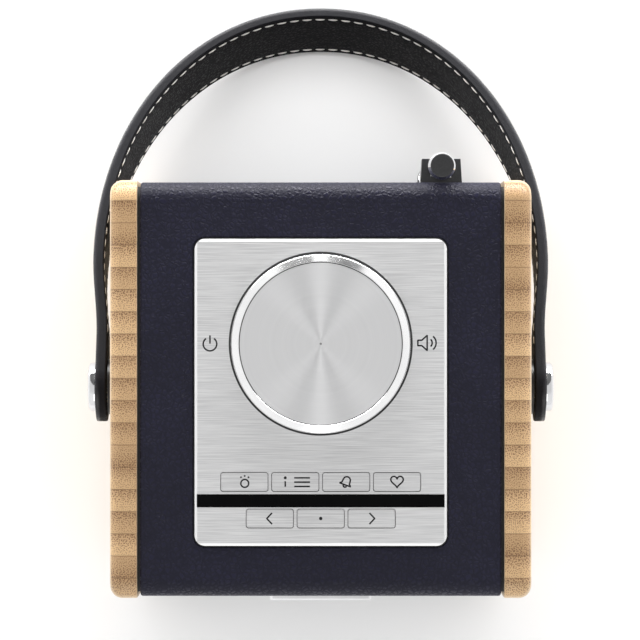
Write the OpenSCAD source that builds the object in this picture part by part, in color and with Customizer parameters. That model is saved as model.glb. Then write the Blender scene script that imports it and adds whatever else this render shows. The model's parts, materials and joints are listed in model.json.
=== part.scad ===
// Portable leather-wrapped table radio with bamboo ends, a swinging strap handle
// and a telescopic aerial. X runs to the right, Y to the back and Z up, in
// millimetres. The origin is the centre of the pad that the radio stands on.

/* [Cabinet] */
// Width over the two bamboo side panels
cabinet_w = 118; // [117:0.5:119]
// Depth of the leather body, front to back
body_d = 116; // [115:0.5:117]
// Height of the leather top above the table
body_top = 110; // [109:0.5:111]
// Height of the leather underside above the table
body_bottom = 3; // [2.8:0.1:3.2]
// Thickness of the leather wrap
leather_t = 1.4; // [1.2:0.1:1.6]
// Wall thickness of the moulded inner frame
frame_t = 3; // [2.8:0.1:3.2]
// Radius of the long leather edges
edge_r = 5; // [4.5:0.5:5.5]

/* [Side panels] */
// Thickness of each bamboo panel
panel_t = 7.7; // [7.5:0.1:8]
// How far the panels stand proud of the leather
panel_proud = 0.6; // [0.4:0.1:0.8]
// Rounding of the outer edges of the panels
panel_edge_r = 3.5; // [3.2:0.1:3.8]
// Dark gasket between leather and bamboo
gasket_t = 0.8; // [0.6:0.1:1]

/* [Control plate] */
// Width of the brushed plate
plate_w = 70.4; // [70:0.2:71]
// Depth of the brushed plate
plate_d = 85.7; // [85:0.1:86.5]
// Thickness of the brushed plate
plate_t = 2; // [1.8:0.1:2.2]
// Dial outer diameter
dial_dia = 49.9; // [49:0.1:51.5]
// Dial height above the plate
dial_h = 7; // [6.5:0.5:8]
// Width of one push button
button_w = 13; // [12.8:0.1:13.1]
// Depth of one push button
button_d = 5.1; // [4.9:0.1:5.2]
// Spacing of the buttons
button_pitch = 14.2; // [14.2:0.1:14.4]

/* [Front] */
// Side of the square perforated grille
grille_side = 77.2; // [76:0.2:78]
// Diameter of one grille hole
grille_hole_d = 2.6; // [2.2:0.1:2.8]
// Spacing of the grille holes
grille_pitch = 4.3; // [4.2:0.1:4.6]

/* [Strap handle] */
// Strap width
strap_w = 20; // [19:0.5:20]
// Thickness of the outer strap leather
strap_leather_t = 2.2; // [2:0.1:2.2]
// Thickness of the strap lining
strap_lining_t = 1; // [0.8:0.1:1]
// Height of the handle pivots above the table
pivot_z = 69.5; // [69.5:0.1:70]
// Angle by which the strap hangs below level behind the radio
strap_tilt = 28.95; // [28.8:0.05:28.95]

/* [Aerial] */
// Distance of the aerial from the centre of the radio
aerial_x = 33.9; // [33:0.1:34.5]
// Outer diameter of the largest aerial tube
aerial_dia = 5.6; // [5.6:0.1:5.8]

/* [Hidden] */
$fn = 64;
eps = 0.5;                       // extra length of a cutting tool past a face

// Cabinet shells, from the outside in
body_h = body_top - body_bottom;
body_mid = (body_top + body_bottom) / 2;
panel_x = cabinet_w / 2 - panel_t;           // inner face of a side panel
body_l = 2 * (panel_x - gasket_t);           // length of leather between the gaskets
frame_d = body_d - 2 * leather_t;
frame_h = body_h - 2 * leather_t;
frame_top = body_top - leather_t;
frame_bottom = body_bottom + leather_t;
room_d = frame_d - 2 * frame_t;
room_h = frame_h - 2 * frame_t;
back_y = body_d / 2;
flange_w = 7.6;                              // end flange that the panels screw to
panel_screw_y = frame_d / 2 - 6.8;
panel_screw_z = frame_h / 2 - 7.1;
base_screw = [41, 45];
trim_w = 28.5;                               // bright bar on the front, above the grille
trim_h = 5;
trim_z = 99.5;

// Control plate and what sits in it
plate_y = -0.8;
plate_z = frame_top;                         // underside of the plate
plate_top = plate_z + plate_t;
plate_gap = 0.45;
plate_chamfer = 0.75;
board_t = 1.6;
board_top = plate_z - 7;
boss_x = 27;
boss_y = [-36, 33.5];
dial_y = 12.8;
dial_bottom = plate_top + 0.5;
dial_top = plate_top + dial_h;
ring_r = 22.65;                              // inside of the dial's polished ring
pocket_gap = 0.2;
button_sink = 0.2;                           // buttons lie this far below the plate
upper_y = -25.8;
lower_y = -36;
strip_y = -31.05;
strip_w = 69.2;
strip_d = 3.7;
upper_x = [for (i = [-1.5 : 1.5]) i * button_pitch];
lower_x = [for (i = [-1 : 1]) i * button_pitch];
switch_h = 3.5;

// Loudspeaker
speaker_z = 52;
speaker_r = 34;
basket_back = -34;                           // rear face of the basket
wall_y = -room_d / 2;                        // inner face of the front wall

// Rear plate
rear_mid = [-10, 39];                        // x and z of its centre
rear_size = [60, 54];
bay_mid = [-10, 31.5];
bay_size = [46, 25];
jack_z = 55;
jack_x = [-30, -16, -2, 11];                 // power, USB, line in, headphones
socket_r = 1.8;                              // bore of the two audio sockets
board_y = 40.4;                              // front face of the main board
rear_face = back_y + 0.4;
post_x = [-40, 26];
post_z = [72, 92];

// Strap curve in the handle's own plane: x across, v away from the pivots
strap_t = strap_leather_t + strap_lining_t;
strap_root_x = cabinet_w / 2 + 6;            // outer face of the strap at a pivot
strap_out_x = 66.7;                          // outer face where the strap is widest
strap_mid_v = 38;
strap_reach = 125.4;
strap_power = 2.05;
bolt_r = 7.1;
hub_r = 4;
bush_r = 8;
eyelet_r = 5.25;

// Aerial
aerial_y = back_y + 4.5;
elbow_z = 30.3;
tube_wall = 0.35;
tube_step = 0.9;                             // each tube is this much slimmer
tube_foot = elbow_z + 5.7;
swivel_r = 4.3;
yoke_x = 3.8;                                // outer face of the swivel's fork
yoke_r = 2.1;
clip_gap = aerial_dia / 2 + 0.2;             // half width of the slot in the clip
clip_z = 99;

// ---------- shared shapes ----------

// Rounded rectangle centred on the origin
module rounded_rect(w, h, r) {
    square([w - 2 * r, h], center = true);
    square([w, h - 2 * r], center = true);
    for (sx = [-1, 1], sy = [-1, 1])
        translate([sx * (w / 2 - r), sy * (h / 2 - r)]) circle(r);
}

// Rectangle whose upper two corners are cut at an angle
module chamfered_rect(w, h, run, rise) {
    polygon([[-w / 2, 0], [w / 2, 0], [w / 2, h - rise], [w / 2 - run, h],
             [-w / 2 + run, h], [-w / 2, h - rise]]);
}

// 2D shape drawn in Y and Z, extruded along X
module along_x(l) rotate([90, 0, 90]) linear_extrude(l, center = true) children();

// 2D shape drawn in X and Z, extruded from y0 to y1
module along_y(y0, y1) translate([0, y1, 0]) rotate([90, 0, 0])
    linear_extrude(y1 - y0) children();

// 2D shape drawn in X and Y, extruded from z0 to z1
module slab(z0, z1) translate([0, 0, z0]) linear_extrude(z1 - z0) children();

// Block between two corners
module block(a, b) translate(a) cube(b - a);

module rod_x(x0, x1, r) translate([x0, 0, 0]) rotate([0, 90, 0]) cylinder(h = x1 - x0, r = r);
module rod_y(y0, y1, r) translate([0, y0, 0]) rotate([-90, 0, 0]) cylinder(h = y1 - y0, r = r);
module rod_z(z0, z1, r) translate([0, 0, z0]) cylinder(h = z1 - z0, r = r);

// Body cross-section grown by g on every side, with corner radius r
module body_section(g, r) translate([0, body_mid]) rounded_rect(body_d + 2 * g, body_h + 2 * g, r);

module at_speaker() translate([0, 0, speaker_z]) rotate([-90, 0, 0]) children();
module both_sides() {
    children();
    mirror([1, 0, 0]) children();
}

// Pan-head screw along +Z: underside of the head at the origin, shank below it
module screw(head_r, head_h, shank_r, l) {
    difference() {
        cylinder(h = head_h, r = head_r);
        for (a = [0, 90]) rotate([0, 0, a])
            translate([0, 0, head_h]) cube([head_r * 1.3, 0.5, head_h * 0.9], center = true);
    }
    translate([0, 0, -l]) cylinder(h = l, r = shank_r);
}

// ---------- cabinet ----------

module corner_screw_places() for (sy = [-1, 1], sz = [-1, 1])
    translate([0, sy * panel_screw_y, body_mid + sz * panel_screw_z]) children();
module base_screw_places() for (sx = [-1, 1], sy = [-1, 1])
    translate([sx * base_screw[0], sy * base_screw[1], 0]) children();
module rear_screw_places() for (sx = [-1, 1], sz = [-1, 1])
    translate([rear_mid[0] + sx * (rear_size[0] / 2 - 1.6), 0,
        rear_mid[1] + sz * (rear_size[1] / 2 - 1.6)]) children();
module post_places() for (x = post_x, z = post_z) translate([x, 0, z]) children();
module boss_places() for (sx = [-1, 1], y = boss_y) translate([sx * boss_x, y, 0]) children();
module trim_pin_places() for (sx = [-1, 1]) translate([sx * 10, 0, trim_z]) children();

module cabinet_frame() color("dimgray") difference() {
    union() {
        difference() {
            along_x(body_l) body_section(-leather_t, edge_r - leather_t);
            along_x(body_l - 2 * frame_t)
                translate([0, body_mid]) rounded_rect(room_d, room_h, 1.5);
        }
        post_places() rod_y(board_y + board_t, room_d / 2 + 1, 3);
    }
    along_x(body_l + eps) translate([0, body_mid])
        rounded_rect(room_d - 2 * flange_w, room_h - 2 * flange_w, 4);
    slab(frame_top - frame_t - eps, frame_top + eps)
        translate([0, plate_y]) rounded_rect(64, 79, 3);
    slab(frame_bottom - eps, frame_bottom + frame_t + eps) rounded_rect(76, 84, 4);
    at_speaker() translate([0, 0, -frame_d / 2 - eps]) cylinder(h = frame_t + 2 * eps, r = speaker_r);
    along_y(room_d / 2 - eps, frame_d / 2 + eps)
        translate(rear_mid) rounded_rect(rear_size[0] - 6, rear_size[1] - 6, 2);
    corner_screw_places() rod_x(-body_l, body_l, 1.6);
    base_screw_places() rod_z(frame_bottom - eps, frame_bottom + frame_t + eps, 1.25);
    rear_screw_places() rod_y(room_d / 2 - eps, frame_d / 2 + eps, 1.25);
    post_places() rod_y(board_y, room_d / 2 - 2, 1.1);
    trim_pin_places() rod_y(-frame_d / 2 - eps, wall_y + eps, 0.9);
    translate([aerial_x, 0, clip_z]) rod_y(room_d / 2 - eps, frame_d / 2 + eps, 2.05);
    aerial_screw_places() rod_y(room_d / 2 - eps, frame_d / 2 + eps, 1.05);
}

module leather_wrap() color("midnightblue") difference() {
    along_x(body_l) body_section(0, edge_r);
    along_x(body_l + eps) body_section(-leather_t, edge_r - leather_t);
    slab(frame_top - eps, body_top + eps) translate([0, plate_y])
        rounded_rect(plate_w + 2 * plate_gap, plate_d + 2 * plate_gap, 3.4);
    slab(body_bottom - eps, frame_bottom + eps) rounded_rect(76, 84, 4);
    along_y(-back_y - eps, -frame_d / 2 + eps)
        translate([0, speaker_z]) rounded_rect(grille_side + 0.8, grille_side + 0.8, 6.4);
    along_y(frame_d / 2 - eps, back_y + eps)
        translate(rear_mid) rounded_rect(rear_size[0] + 0.6, rear_size[1] + 0.6, 3.3);
    base_screw_places() rod_z(body_bottom - eps, frame_bottom + eps, 1.4);
    trim_pin_places() rod_y(-back_y - eps, -frame_d / 2 + eps, 0.9);
    translate([aerial_x, 0, clip_z]) rod_y(frame_d / 2 - eps, back_y + eps, 2.05);
    aerial_screw_places() rod_y(frame_d / 2 - eps, back_y + eps, 1.05);
}

// Right-hand panel: three profiles crossed, so that every outer edge is rounded
module side_panel() difference() {
    intersection() {
        translate([panel_x + panel_t / 2, 0, 0]) along_x(panel_t)
            body_section(panel_proud, edge_r + panel_proud);
        slab(0, body_top + 10) panel_outline(body_d + 2 * panel_proud);
        rotate([90, 0, 0]) translate([0, body_mid, -body_d])
            linear_extrude(2 * body_d) panel_outline(body_h + 2 * panel_proud);
    }
    translate([0, 0, pivot_z]) rod_x(panel_x + 0.7, cabinet_w, 4.5);
    corner_screw_places() rod_x(panel_x - eps, panel_x + 5, 1.5);
}

// Outline of a panel seen along one of its long faces: outer corners rounded
module panel_outline(span) translate([panel_x, 0]) {
    square([2 * (panel_t - panel_edge_r), span], center = true);
    translate([panel_t / 2, 0]) square([panel_t, span - 2 * panel_edge_r], center = true);
    for (s = [-1, 1]) translate([panel_t - panel_edge_r, s * (span / 2 - panel_edge_r)])
        circle(panel_edge_r);
}

module right_side_panel() color("burlywood") side_panel();
module left_side_panel() color("burlywood") mirror([1, 0, 0]) side_panel();

module panel_gaskets() color("black") both_sides()
    translate([panel_x - gasket_t / 2, 0, 0]) difference() {
        along_x(gasket_t) body_section(-1.2, edge_r - 1.2);
        along_x(gasket_t + eps) translate([0, body_mid])
            rounded_rect(room_d - 2 * flange_w, room_h - 2 * flange_w, 4);
        corner_screw_places() rod_x(-eps, eps, 1.6);
    }

module base_plate() color("black") difference() {
    union() {
        slab(1, body_bottom) rounded_rect(88, 96, 6);
        slab(body_bottom, frame_bottom + 2) rounded_rect(75.4, 83.4, 3.7);
    }
    base_screw_places() {
        rod_z(0, 2, 2.7);
        rod_z(0, body_bottom + eps, 1.4);
    }
}

module grip_pad() color("darkslategray") slab(0, 1) difference() {
    rounded_rect(66, 74, 5);
    for (i = [-5 : 5]) if (i != 0)
        translate([0, i * 6.2]) rounded_rect(54, 1.2, 0.55);
}

module case_screws() color("gray") {
    both_sides() corner_screw_places()
        translate([body_l / 2 - frame_t, 0, 0]) rotate([0, -90, 0]) screw(2.7, 1.7, 1.45, 8.5);
    base_screw_places() translate([0, 0, 2]) rotate([180, 0, 0]) screw(2.5, 0.85, 1.2, 5.4);
    rear_screw_places() translate([0, rear_face, 0])
        rotate([-90, 0, 0]) screw(1.5, 0.6, 1.2, 4.6);
}

// ---------- control plate, dial and buttons ----------

module pockets(grow) {
    for (x = upper_x) translate([x, upper_y]) button_outline(grow);
    for (x = lower_x) translate([x, lower_y]) button_outline(grow);
}
module button_outline(grow)
    rounded_rect(button_w + 2 * grow, button_d + 2 * grow, 0.6 + grow);

module control_plate() color("silver") difference() {
    union() {
        intersection() {
            slab(plate_z, plate_top) translate([0, plate_y]) rounded_rect(plate_w, plate_d, 3);
            rotate([90, 0, 0]) translate([0, plate_z, -body_d])
                linear_extrude(2 * body_d) chamfered_rect(plate_w, plate_t, plate_chamfer, 0.35);
            along_x(body_l) translate([plate_y, plate_z])
                chamfered_rect(plate_d, plate_t, plate_chamfer, 0.35);
        }
        boss_places() rod_z(board_top, plate_z + 1, 3);
    }
    slab(plate_z - eps, plate_top + eps) pockets(pocket_gap);
    slab(plate_top - 1.2, plate_top + eps)
        translate([0, strip_y]) square([strip_w, strip_d], center = true);
    slab(plate_z - eps, plate_top) translate([0, strip_y]) square([60.4, strip_d], center = true);
    translate([0, dial_y, 0]) rod_z(plate_z - eps, plate_top + eps, 3.7);
    boss_places() rod_z(board_top - eps, board_top + 5, 1);
}

module display_window() color("black") translate([0, strip_y]) {
    slab(plate_top - 1.2, plate_top - 0.1) square([strip_w - 0.2, strip_d - 0.2], center = true);
    slab(plate_z, plate_top - 1.2) square([60, strip_d - 0.2], center = true);
}

module display_module() color("darkgreen") translate([0, strip_y])
    slab(board_top, plate_z - 0.3) square([58, 3.3], center = true);

module control_board() color("seagreen") difference() {
    slab(board_top - board_t, board_top) translate([0, -0.8]) rounded_rect(61, 77.4, 2);
    boss_places() rod_z(board_top - board_t - eps, board_top + eps, 1.15);
}

module button_switches() color("dimgray") {
    for (x = upper_x) translate([x, upper_y, board_top]) tact_switch();
    for (x = lower_x) translate([x, lower_y, board_top]) tact_switch();
}
module tact_switch() difference() {
    translate([-3, -2.9, 0]) cube([6, 5.8, switch_h]);
    rod_z(switch_h - 1.3, switch_h + eps, 1);
}

module board_screws() color("gray") {
    boss_places() translate([0, 0, board_top - board_t]) rotate([180, 0, 0]) screw(2.1, 1.4, 0.95, 6);
    post_places() translate([0, board_y, 0]) rotate([90, 0, 0]) screw(2.3, 1.5, 1.05, 8);
}

module encoder_body() color("slategray") translate([0, dial_y, 0]) difference() {
    union() {
        slab(board_top, plate_z - 1.2) square([12.4, 13.2], center = true);
        rod_z(plate_z - 1.3, plate_top + 1.8, 3.5);
    }
    rod_z(board_top + 1, board_top + 4.8, 4);
    rod_z(board_top + 2, plate_top + 3, 3.06);
}
module encoder_plunger() color("white") translate([0, dial_y, 0])
    rod_z(board_top + 1.8, board_top + 3, 3.4);
module encoder_shaft() color("lightgray") translate([0, dial_y, 0]) difference() {
    rod_z(board_top + 3.05, dial_top - 1.4, 3);
    translate([1.6, -4, dial_bottom + 2.4]) cube([4, 8, 6]);
}
module encoder_nut() color("gold") translate([0, dial_y, 0]) difference() {
    translate([0, 0, plate_top]) cylinder(h = 1.6, r = 5.8, $fn = 6);
    rod_z(plate_top - eps, plate_top + 2, 3.52);
}

// Turned dial: straight foot, polished sloping ring, shallow seat for the disc
module dial_body() color("gainsboro") translate([0, dial_y, 0]) difference() {
    rotate_extrude() polygon([
        [0, dial_bottom], [dial_dia / 2 - 0.6, dial_bottom],
        [dial_dia / 2, dial_bottom + 0.6], [dial_dia / 2, dial_top - 1.5],
        [dial_dia / 2 - 0.25, dial_top - 1.15], [ring_r, dial_top],
        [ring_r, dial_top - 1.1], [0, dial_top - 1.1]]);
    rod_z(dial_bottom - eps, dial_bottom + 2.2, 8.2);
    difference() {
        rod_z(dial_bottom, dial_top - 1.3, 3.02);
        translate([1.62, -4, dial_bottom + 2.45]) cube([4, 8, 6]);
    }
}
module dial_cap() color("whitesmoke") translate([0, dial_y, 0]) difference() {
    rod_z(dial_top - 1.1, dial_top - 0.1, ring_r - 0.15);
    translate([0, 0, dial_top + 0.5]) sphere(0.9);
}

module push_button(x, y) color("lightgray") translate([x, y, 0]) {
    slab(plate_z - 0.3, plate_top - button_sink) button_outline(0);
    slab(plate_z - 0.8, plate_z - 0.2) rounded_rect(13.9, 5.8, 0.8);
    rod_z(board_top + switch_h + 0.5, plate_z - 0.6, 1.6);
    rod_z(board_top + switch_h - 0.2, board_top + switch_h + 0.6, 0.7);
}
module button_light() push_button(upper_x[0], upper_y);
module button_menu() push_button(upper_x[1], upper_y);
module button_alarm() push_button(upper_x[2], upper_y);
module button_favourite() push_button(upper_x[3], upper_y);
module button_previous() push_button(lower_x[0], lower_y);
module button_select() push_button(lower_x[1], lower_y);
module button_next() push_button(lower_x[2], lower_y);

// ---------- electronics and rear plate ----------

module main_board() color("seagreen") difference() {
    block([-44, board_y, 48], [30, board_y + board_t, 96]);
    post_places() rod_y(board_y - eps, board_y + board_t + eps, 1.15);
}

module tuner_module() color("silver") {
    block([-22, board_y - 5, 66], [8, board_y, 90]);
    block([-20, board_y - 5.6, 68], [6, board_y - 5, 88]);
}

module rear_plate() color("black") difference() {
    union() {
        along_y(frame_d / 2, rear_face) translate(rear_mid) rounded_rect(rear_size[0], rear_size[1], 3);
        along_y(room_d / 2, frame_d / 2)
            translate(rear_mid) rounded_rect(rear_size[0] - 6.6, rear_size[1] - 6.6, 1.8);
        block([-36, 22, 15.4], [16, room_d / 2 + 1, 17.4]);
    }
    along_y(room_d / 2 - eps, rear_face) translate(bay_mid) rounded_rect(bay_size[0], bay_size[1], 2);
    along_y(rear_face - 1, rear_face + eps) translate(bay_mid) rounded_rect(52, 31, 3);
    cover_screw_places() rod_y(room_d / 2 - eps, rear_face, 0.85);
    rear_screw_places() rod_y(room_d / 2, rear_face + eps, 1.3);
    translate([jack_x[0], 0, jack_z]) rod_y(room_d / 2 - eps, rear_face + eps, 4.1);
    along_y(room_d / 2 - eps, rear_face + eps)
        translate([jack_x[1], jack_z]) rounded_rect(9.6, 4, 1.2);
    for (i = [2, 3]) translate([jack_x[i], 0, jack_z]) rod_y(room_d / 2 - eps, rear_face + eps, 3.1);
}
module cover_screw_places() for (s = [-1, 1])
    translate([bay_mid[0] + s * 24.5, 0, bay_mid[1]]) children();

module dc_jack() color("black") translate([jack_x[0], 0, jack_z]) {
    difference() {
        union() {
            block([-4.5, board_y + board_t, -5], [4.5, room_d / 2 - 0.4, 5]);
            rod_y(room_d / 2 - 0.6, rear_face - 0.2, 4);
        }
        rod_y(board_y + board_t + 4, rear_face + eps, 2.9);
    }
    rod_y(board_y + board_t + 3.5, rear_face - 2, 1);
}
module usb_port() color("silver") translate([jack_x[1], 0, jack_z]) difference() {
    along_y(board_y + board_t, rear_face - 0.3) rounded_rect(9, 3.4, 1);
    along_y(board_y + board_t + 2, rear_face + eps) rounded_rect(8.2, 2.6, 0.8);
}
module audio_jacks() color("black") for (i = [2, 3]) translate([jack_x[i], 0, jack_z]) difference() {
    union() {
        block([-4, board_y + board_t, -4], [4, room_d / 2 - 0.4, 4]);
        rod_y(room_d / 2 - 0.6, rear_face - 0.2, 3);
    }
    rod_y(rear_face - 14.2, rear_face + eps, socket_r);
}

module battery_pack() color("royalblue") translate([-10, 0, 17.4]) {
    for (y = [30, 45], z = [7.3, 20.3]) translate([0, y, z]) rod_x(-25, 25, 7);
    block([-24.6, 30, 0.3], [24.6, 45, 27.3]);
    block([-24.6, 23, 7.3], [24.6, 52, 20.3]);
}
module battery_cover() color("black") difference() {
    along_y(rear_face - 1, rear_face - 0.1) translate(bay_mid) rounded_rect(51.6, 30.6, 2.8);
    cover_screw_places() rod_y(rear_face - 1.5, rear_face + eps, 0.95);
    for (z = [-9 : 2 : -3])
        along_y(rear_face - 0.4, rear_face + eps)
            translate([bay_mid[0], bay_mid[1] + z]) rounded_rect(18, 0.9, 0.4);
}
module cover_screws() color("gray") cover_screw_places()
    translate([0, rear_face - 0.1, 0]) rotate([-90, 0, 0]) screw(1.45, 0.7, 0.8, 4);

// ---------- loudspeaker and front ----------

module speaker_basket() color("darkgray") at_speaker() difference() {
    union() {
        translate([0, 0, wall_y]) linear_extrude(2) rounded_rect(76, 76, 9);
        rotate_extrude() polygon([[32.5, wall_y + 1], [34, wall_y + 1], [25.5, basket_back],
            [25.5, basket_back + 2], [10.4, basket_back + 2], [10.4, basket_back], [24, basket_back]]);
    }
    translate([0, 0, wall_y - eps]) cylinder(h = 2 * eps + 1.6, r = 33);
    for (a = [45 : 90 : 315]) rotate([0, 0, a])
        translate([20, -8, wall_y + 4]) cube([20, 16, 12]);
    for (sx = [-1, 1], sy = [-1, 1]) translate([sx * 33, sy * 33, wall_y - eps]) cylinder(h = 4, r = 1.6);
}
module speaker_magnet() color("dimgray") at_speaker() {
    rotate_extrude() polygon([
        [0, basket_back - 1], [8.6, basket_back - 1], [8.6, basket_back + 12],
        [10.4, basket_back + 12], [10.4, basket_back + 2], [25, basket_back + 2],
        [25, basket_back + 14], [23, basket_back + 16], [0, basket_back + 16]]);
}
module voice_coil() color("peru") at_speaker() rotate_extrude()
    translate([9.2, basket_back - 6]) square([0.6, 13]);
module speaker_cone() color("black") at_speaker() {
    rotate_extrude() polygon([
        [9.1, basket_back - 6.6], [9.1, basket_back - 6], [10.4, basket_back - 6],
        [27.2, wall_y + 0.6], [28.6, wall_y + 0.6], [28.6, wall_y], [26.9, wall_y],
        [10, basket_back - 6.6]]);
    translate([0, 0, basket_back - 6.6]) intersection() {
        difference() {
            translate([0, 0, 12]) sphere(15.3);
            translate([0, 0, 12]) sphere(14.7);
        }
        translate([0, 0, -5]) cylinder(h = 5.3, r = 9.6);
    }
}
module speaker_surround() color("darkslategray") at_speaker() rotate_extrude() {
    translate([30.9, wall_y]) intersection() {
        difference() {
            circle(2);
            circle(1.5);
        }
        translate([-3, -3]) square([6, 3.4]);
    }
}
module speaker_spider() color("orange") at_speaker() rotate_extrude() {
    for (i = [0 : 4]) translate([10.2 + i * 2.6, basket_back - 3 + (i % 2) * 0.6]) square([2.8, 0.7]);
}

module grille_holes() {
    reach = grille_side / 2 - 4;
    row = grille_pitch * sqrt(3) / 2;
    rows = floor(reach / row);
    for (j = [-rows : rows]) {
        shift = (abs(j) % 2) * grille_pitch / 2;
        cols = floor((reach - shift) / grille_pitch);
        for (i = [-cols - (shift > 0 ? 1 : 0) : cols])
            if (hole_fits(i * grille_pitch + shift, j * row, reach))
                translate([i * grille_pitch + shift, j * row]) circle(d = grille_hole_d, $fn = 24);
    }
}
// True where a hole lies inside the grille's rounded corners
function hole_fits(x, y, reach) =
    let (c = reach - 5, dx = max(abs(x) - c, 0), dy = max(abs(y) - c, 0)) norm([dx, dy]) <= 5;

module speaker_grille() color("silver") along_y(-back_y - 0.3, -back_y + 1.1)
    translate([0, speaker_z]) difference() {
        rounded_rect(grille_side, grille_side, 6);
        grille_holes();
    }
module grille_cloth() color("black") along_y(-back_y + 1.1, -frame_d / 2)
    translate([0, speaker_z]) rounded_rect(75.6, 75.6, 5);
module front_trim_bar() color("white") {
    intersection() {
        along_y(-back_y - 1.4, -back_y) translate([0, trim_z]) rounded_rect(trim_w, trim_h, 1);
        along_x(40) translate([-back_y, trim_z]) rotate(90)
            chamfered_rect(trim_h, 1.4, 0.5, 0.4);
    }
    trim_pin_places() rod_y(-back_y - 0.2, wall_y + 0.4, 0.8);
}

// ---------- aerial ----------

module aerial_screw_places() for (s = [-1, 1])
    translate([aerial_x + s * 3.7, 0, 8.8]) children();

module antenna_base() color("black") difference() {
    union() {
        along_y(back_y, back_y + 1.4) translate([aerial_x, 14.8]) rounded_rect(13, 18, 2);
        block([aerial_x - swivel_r, back_y, 13], [aerial_x + swivel_r, aerial_y, 24]);
        translate([aerial_x, aerial_y, 0]) rod_z(13, 24, swivel_r);
    }
    translate([aerial_x, aerial_y, 0]) rod_z(15, 24 + eps, 2.06);
    aerial_screw_places() rod_y(back_y - eps, back_y + 2, 1.05);
}
module antenna_clip() color("black") {
    difference() {
        slab(clip_z - 4, clip_z + 4) translate([aerial_x, back_y])
            polygon([[-5.8, 0], [5.8, 0], [5.4, 6.7], [-5.4, 6.7]]);
        block([aerial_x - clip_gap, aerial_y - clip_gap, clip_z - 5],
              [aerial_x + clip_gap, aerial_y + 5, clip_z + 5]);
    }
    translate([aerial_x, 0, clip_z]) rod_y(room_d / 2, back_y + 0.5, 2);
}
module antenna_swivel() color("silver") translate([aerial_x, aerial_y, 0]) {
    rod_z(15.2, 24.2, 2);
    rod_z(24.2, 26, swivel_r);
    both_sides() {
        block([1.6, -yoke_r, 25.5], [yoke_x, yoke_r, elbow_z]);
        translate([0, 0, elbow_z]) rod_x(1.6, yoke_x, yoke_r);
    }
    translate([0, 0, elbow_z]) rod_x(-yoke_x, yoke_x, 1);
}
module antenna_elbow() color("silver") translate([aerial_x, aerial_y, 0]) difference() {
    union() {
        translate([0, 0, elbow_z]) rod_x(-1.4, 1.4, 2.6);
        block([-1.4, -2.6, elbow_z], [1.4, 2.6, elbow_z + 4.2]);
        rod_z(elbow_z + 3.7, tube_foot, aerial_dia / 2);
    }
    translate([0, 0, elbow_z]) rod_x(-3, 3, 1.05);
}
// Tube number n counts from the outside; its foot and top rise with n
function tube_r(n) = aerial_dia / 2 - (n - 1) * tube_step / 2;
module tube(n) color("silver") translate([aerial_x, aerial_y, 0]) difference() {
    rod_z(tube_foot + (n > 1 ? 1.5 + 0.5 * n : 0), 101 + n, tube_r(n));
    rod_z(tube_foot + (n > 1 ? -1 : 1), 102 + n, tube_r(n) - tube_wall);
}
module antenna_tube_1() tube(1);
module antenna_tube_2() tube(2);
module antenna_tube_3() tube(3);
module antenna_tip() color("silver") translate([aerial_x, aerial_y, 0]) {
    rod_z(tube_foot + 3.5, 106, tube_r(4));
    rotate_extrude() polygon([[0, 105.2], [3.4, 105.2], [3.85, 105.7], [3.85, 107.3],
        [3.05, 108.2], [3.05, 111.6], [2.7, 112], [0, 112]]);
}

// ---------- strap handle ----------

// Half of the strap's outer curve, from the pivot end to the crown
function ease(t) = t <= 0 ? 0 : t >= 1 ? 1 : t * t * (3 - 2 * t);
function leg_point(v) =
    [strap_root_x + (strap_out_x - strap_root_x) * ease((v - 12) / (strap_mid_v - 12)), v];
function arch_point(a) = [strap_out_x * pow(cos(a), 2 / strap_power),
    strap_mid_v + (strap_reach - strap_mid_v) * pow(sin(a), 2 / strap_power)];
half_curve = concat(
    [[strap_root_x, -strap_w / 2 - 1]],
    [for (v = [12 : 3.25 : strap_mid_v - 1]) leg_point(v)],
    [for (a = [0 : 5 : 85]) arch_point(a)]);
right_count = len(half_curve);
outer_curve = concat(half_curve, [[0, strap_reach]],
    [for (i = [right_count - 1 : -1 : 0]) [-half_curve[i][0], half_curve[i][1]]]);
curve_count = len(outer_curve);

// Unit normal at point i, pointing away from the loop
function unit(p) = p / norm(p);
function curve_normal(i) = let (
    a = outer_curve[max(i - 1, 0)], b = outer_curve[min(i + 1, curve_count - 1)], d = unit(b - a))
    [d[1], -d[0]];
function inset_curve(t) = [for (i = [0 : curve_count - 1]) outer_curve[i] - t * curve_normal(i)];
function reversed(list) = [for (i = [len(list) - 1 : -1 : 0]) list[i]];

module at_rest_tilt() translate([0, 0, pivot_z]) rotate([-strap_tilt, 0, 0]) children();

// One layer of the strap, between two depths below the outer curve
module strap_layer(t0, t1) at_rest_tilt() difference() {
    intersection() {
        translate([0, 0, -strap_w / 2]) linear_extrude(strap_w)
            polygon(concat(inset_curve(t0), reversed(inset_curve(t1))));
        union() {
            rod_x(-80, 80, strap_w / 2);
            block([-80, 0, -strap_w / 2], [80, strap_reach + 5, strap_w / 2]);
        }
    }
    rod_x(-80, 80, eyelet_r + 0.05);
}
module strap_leather() color("darkslategray") strap_layer(0, strap_leather_t);
module strap_lining() color("black") strap_layer(strap_leather_t, strap_t);

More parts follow.
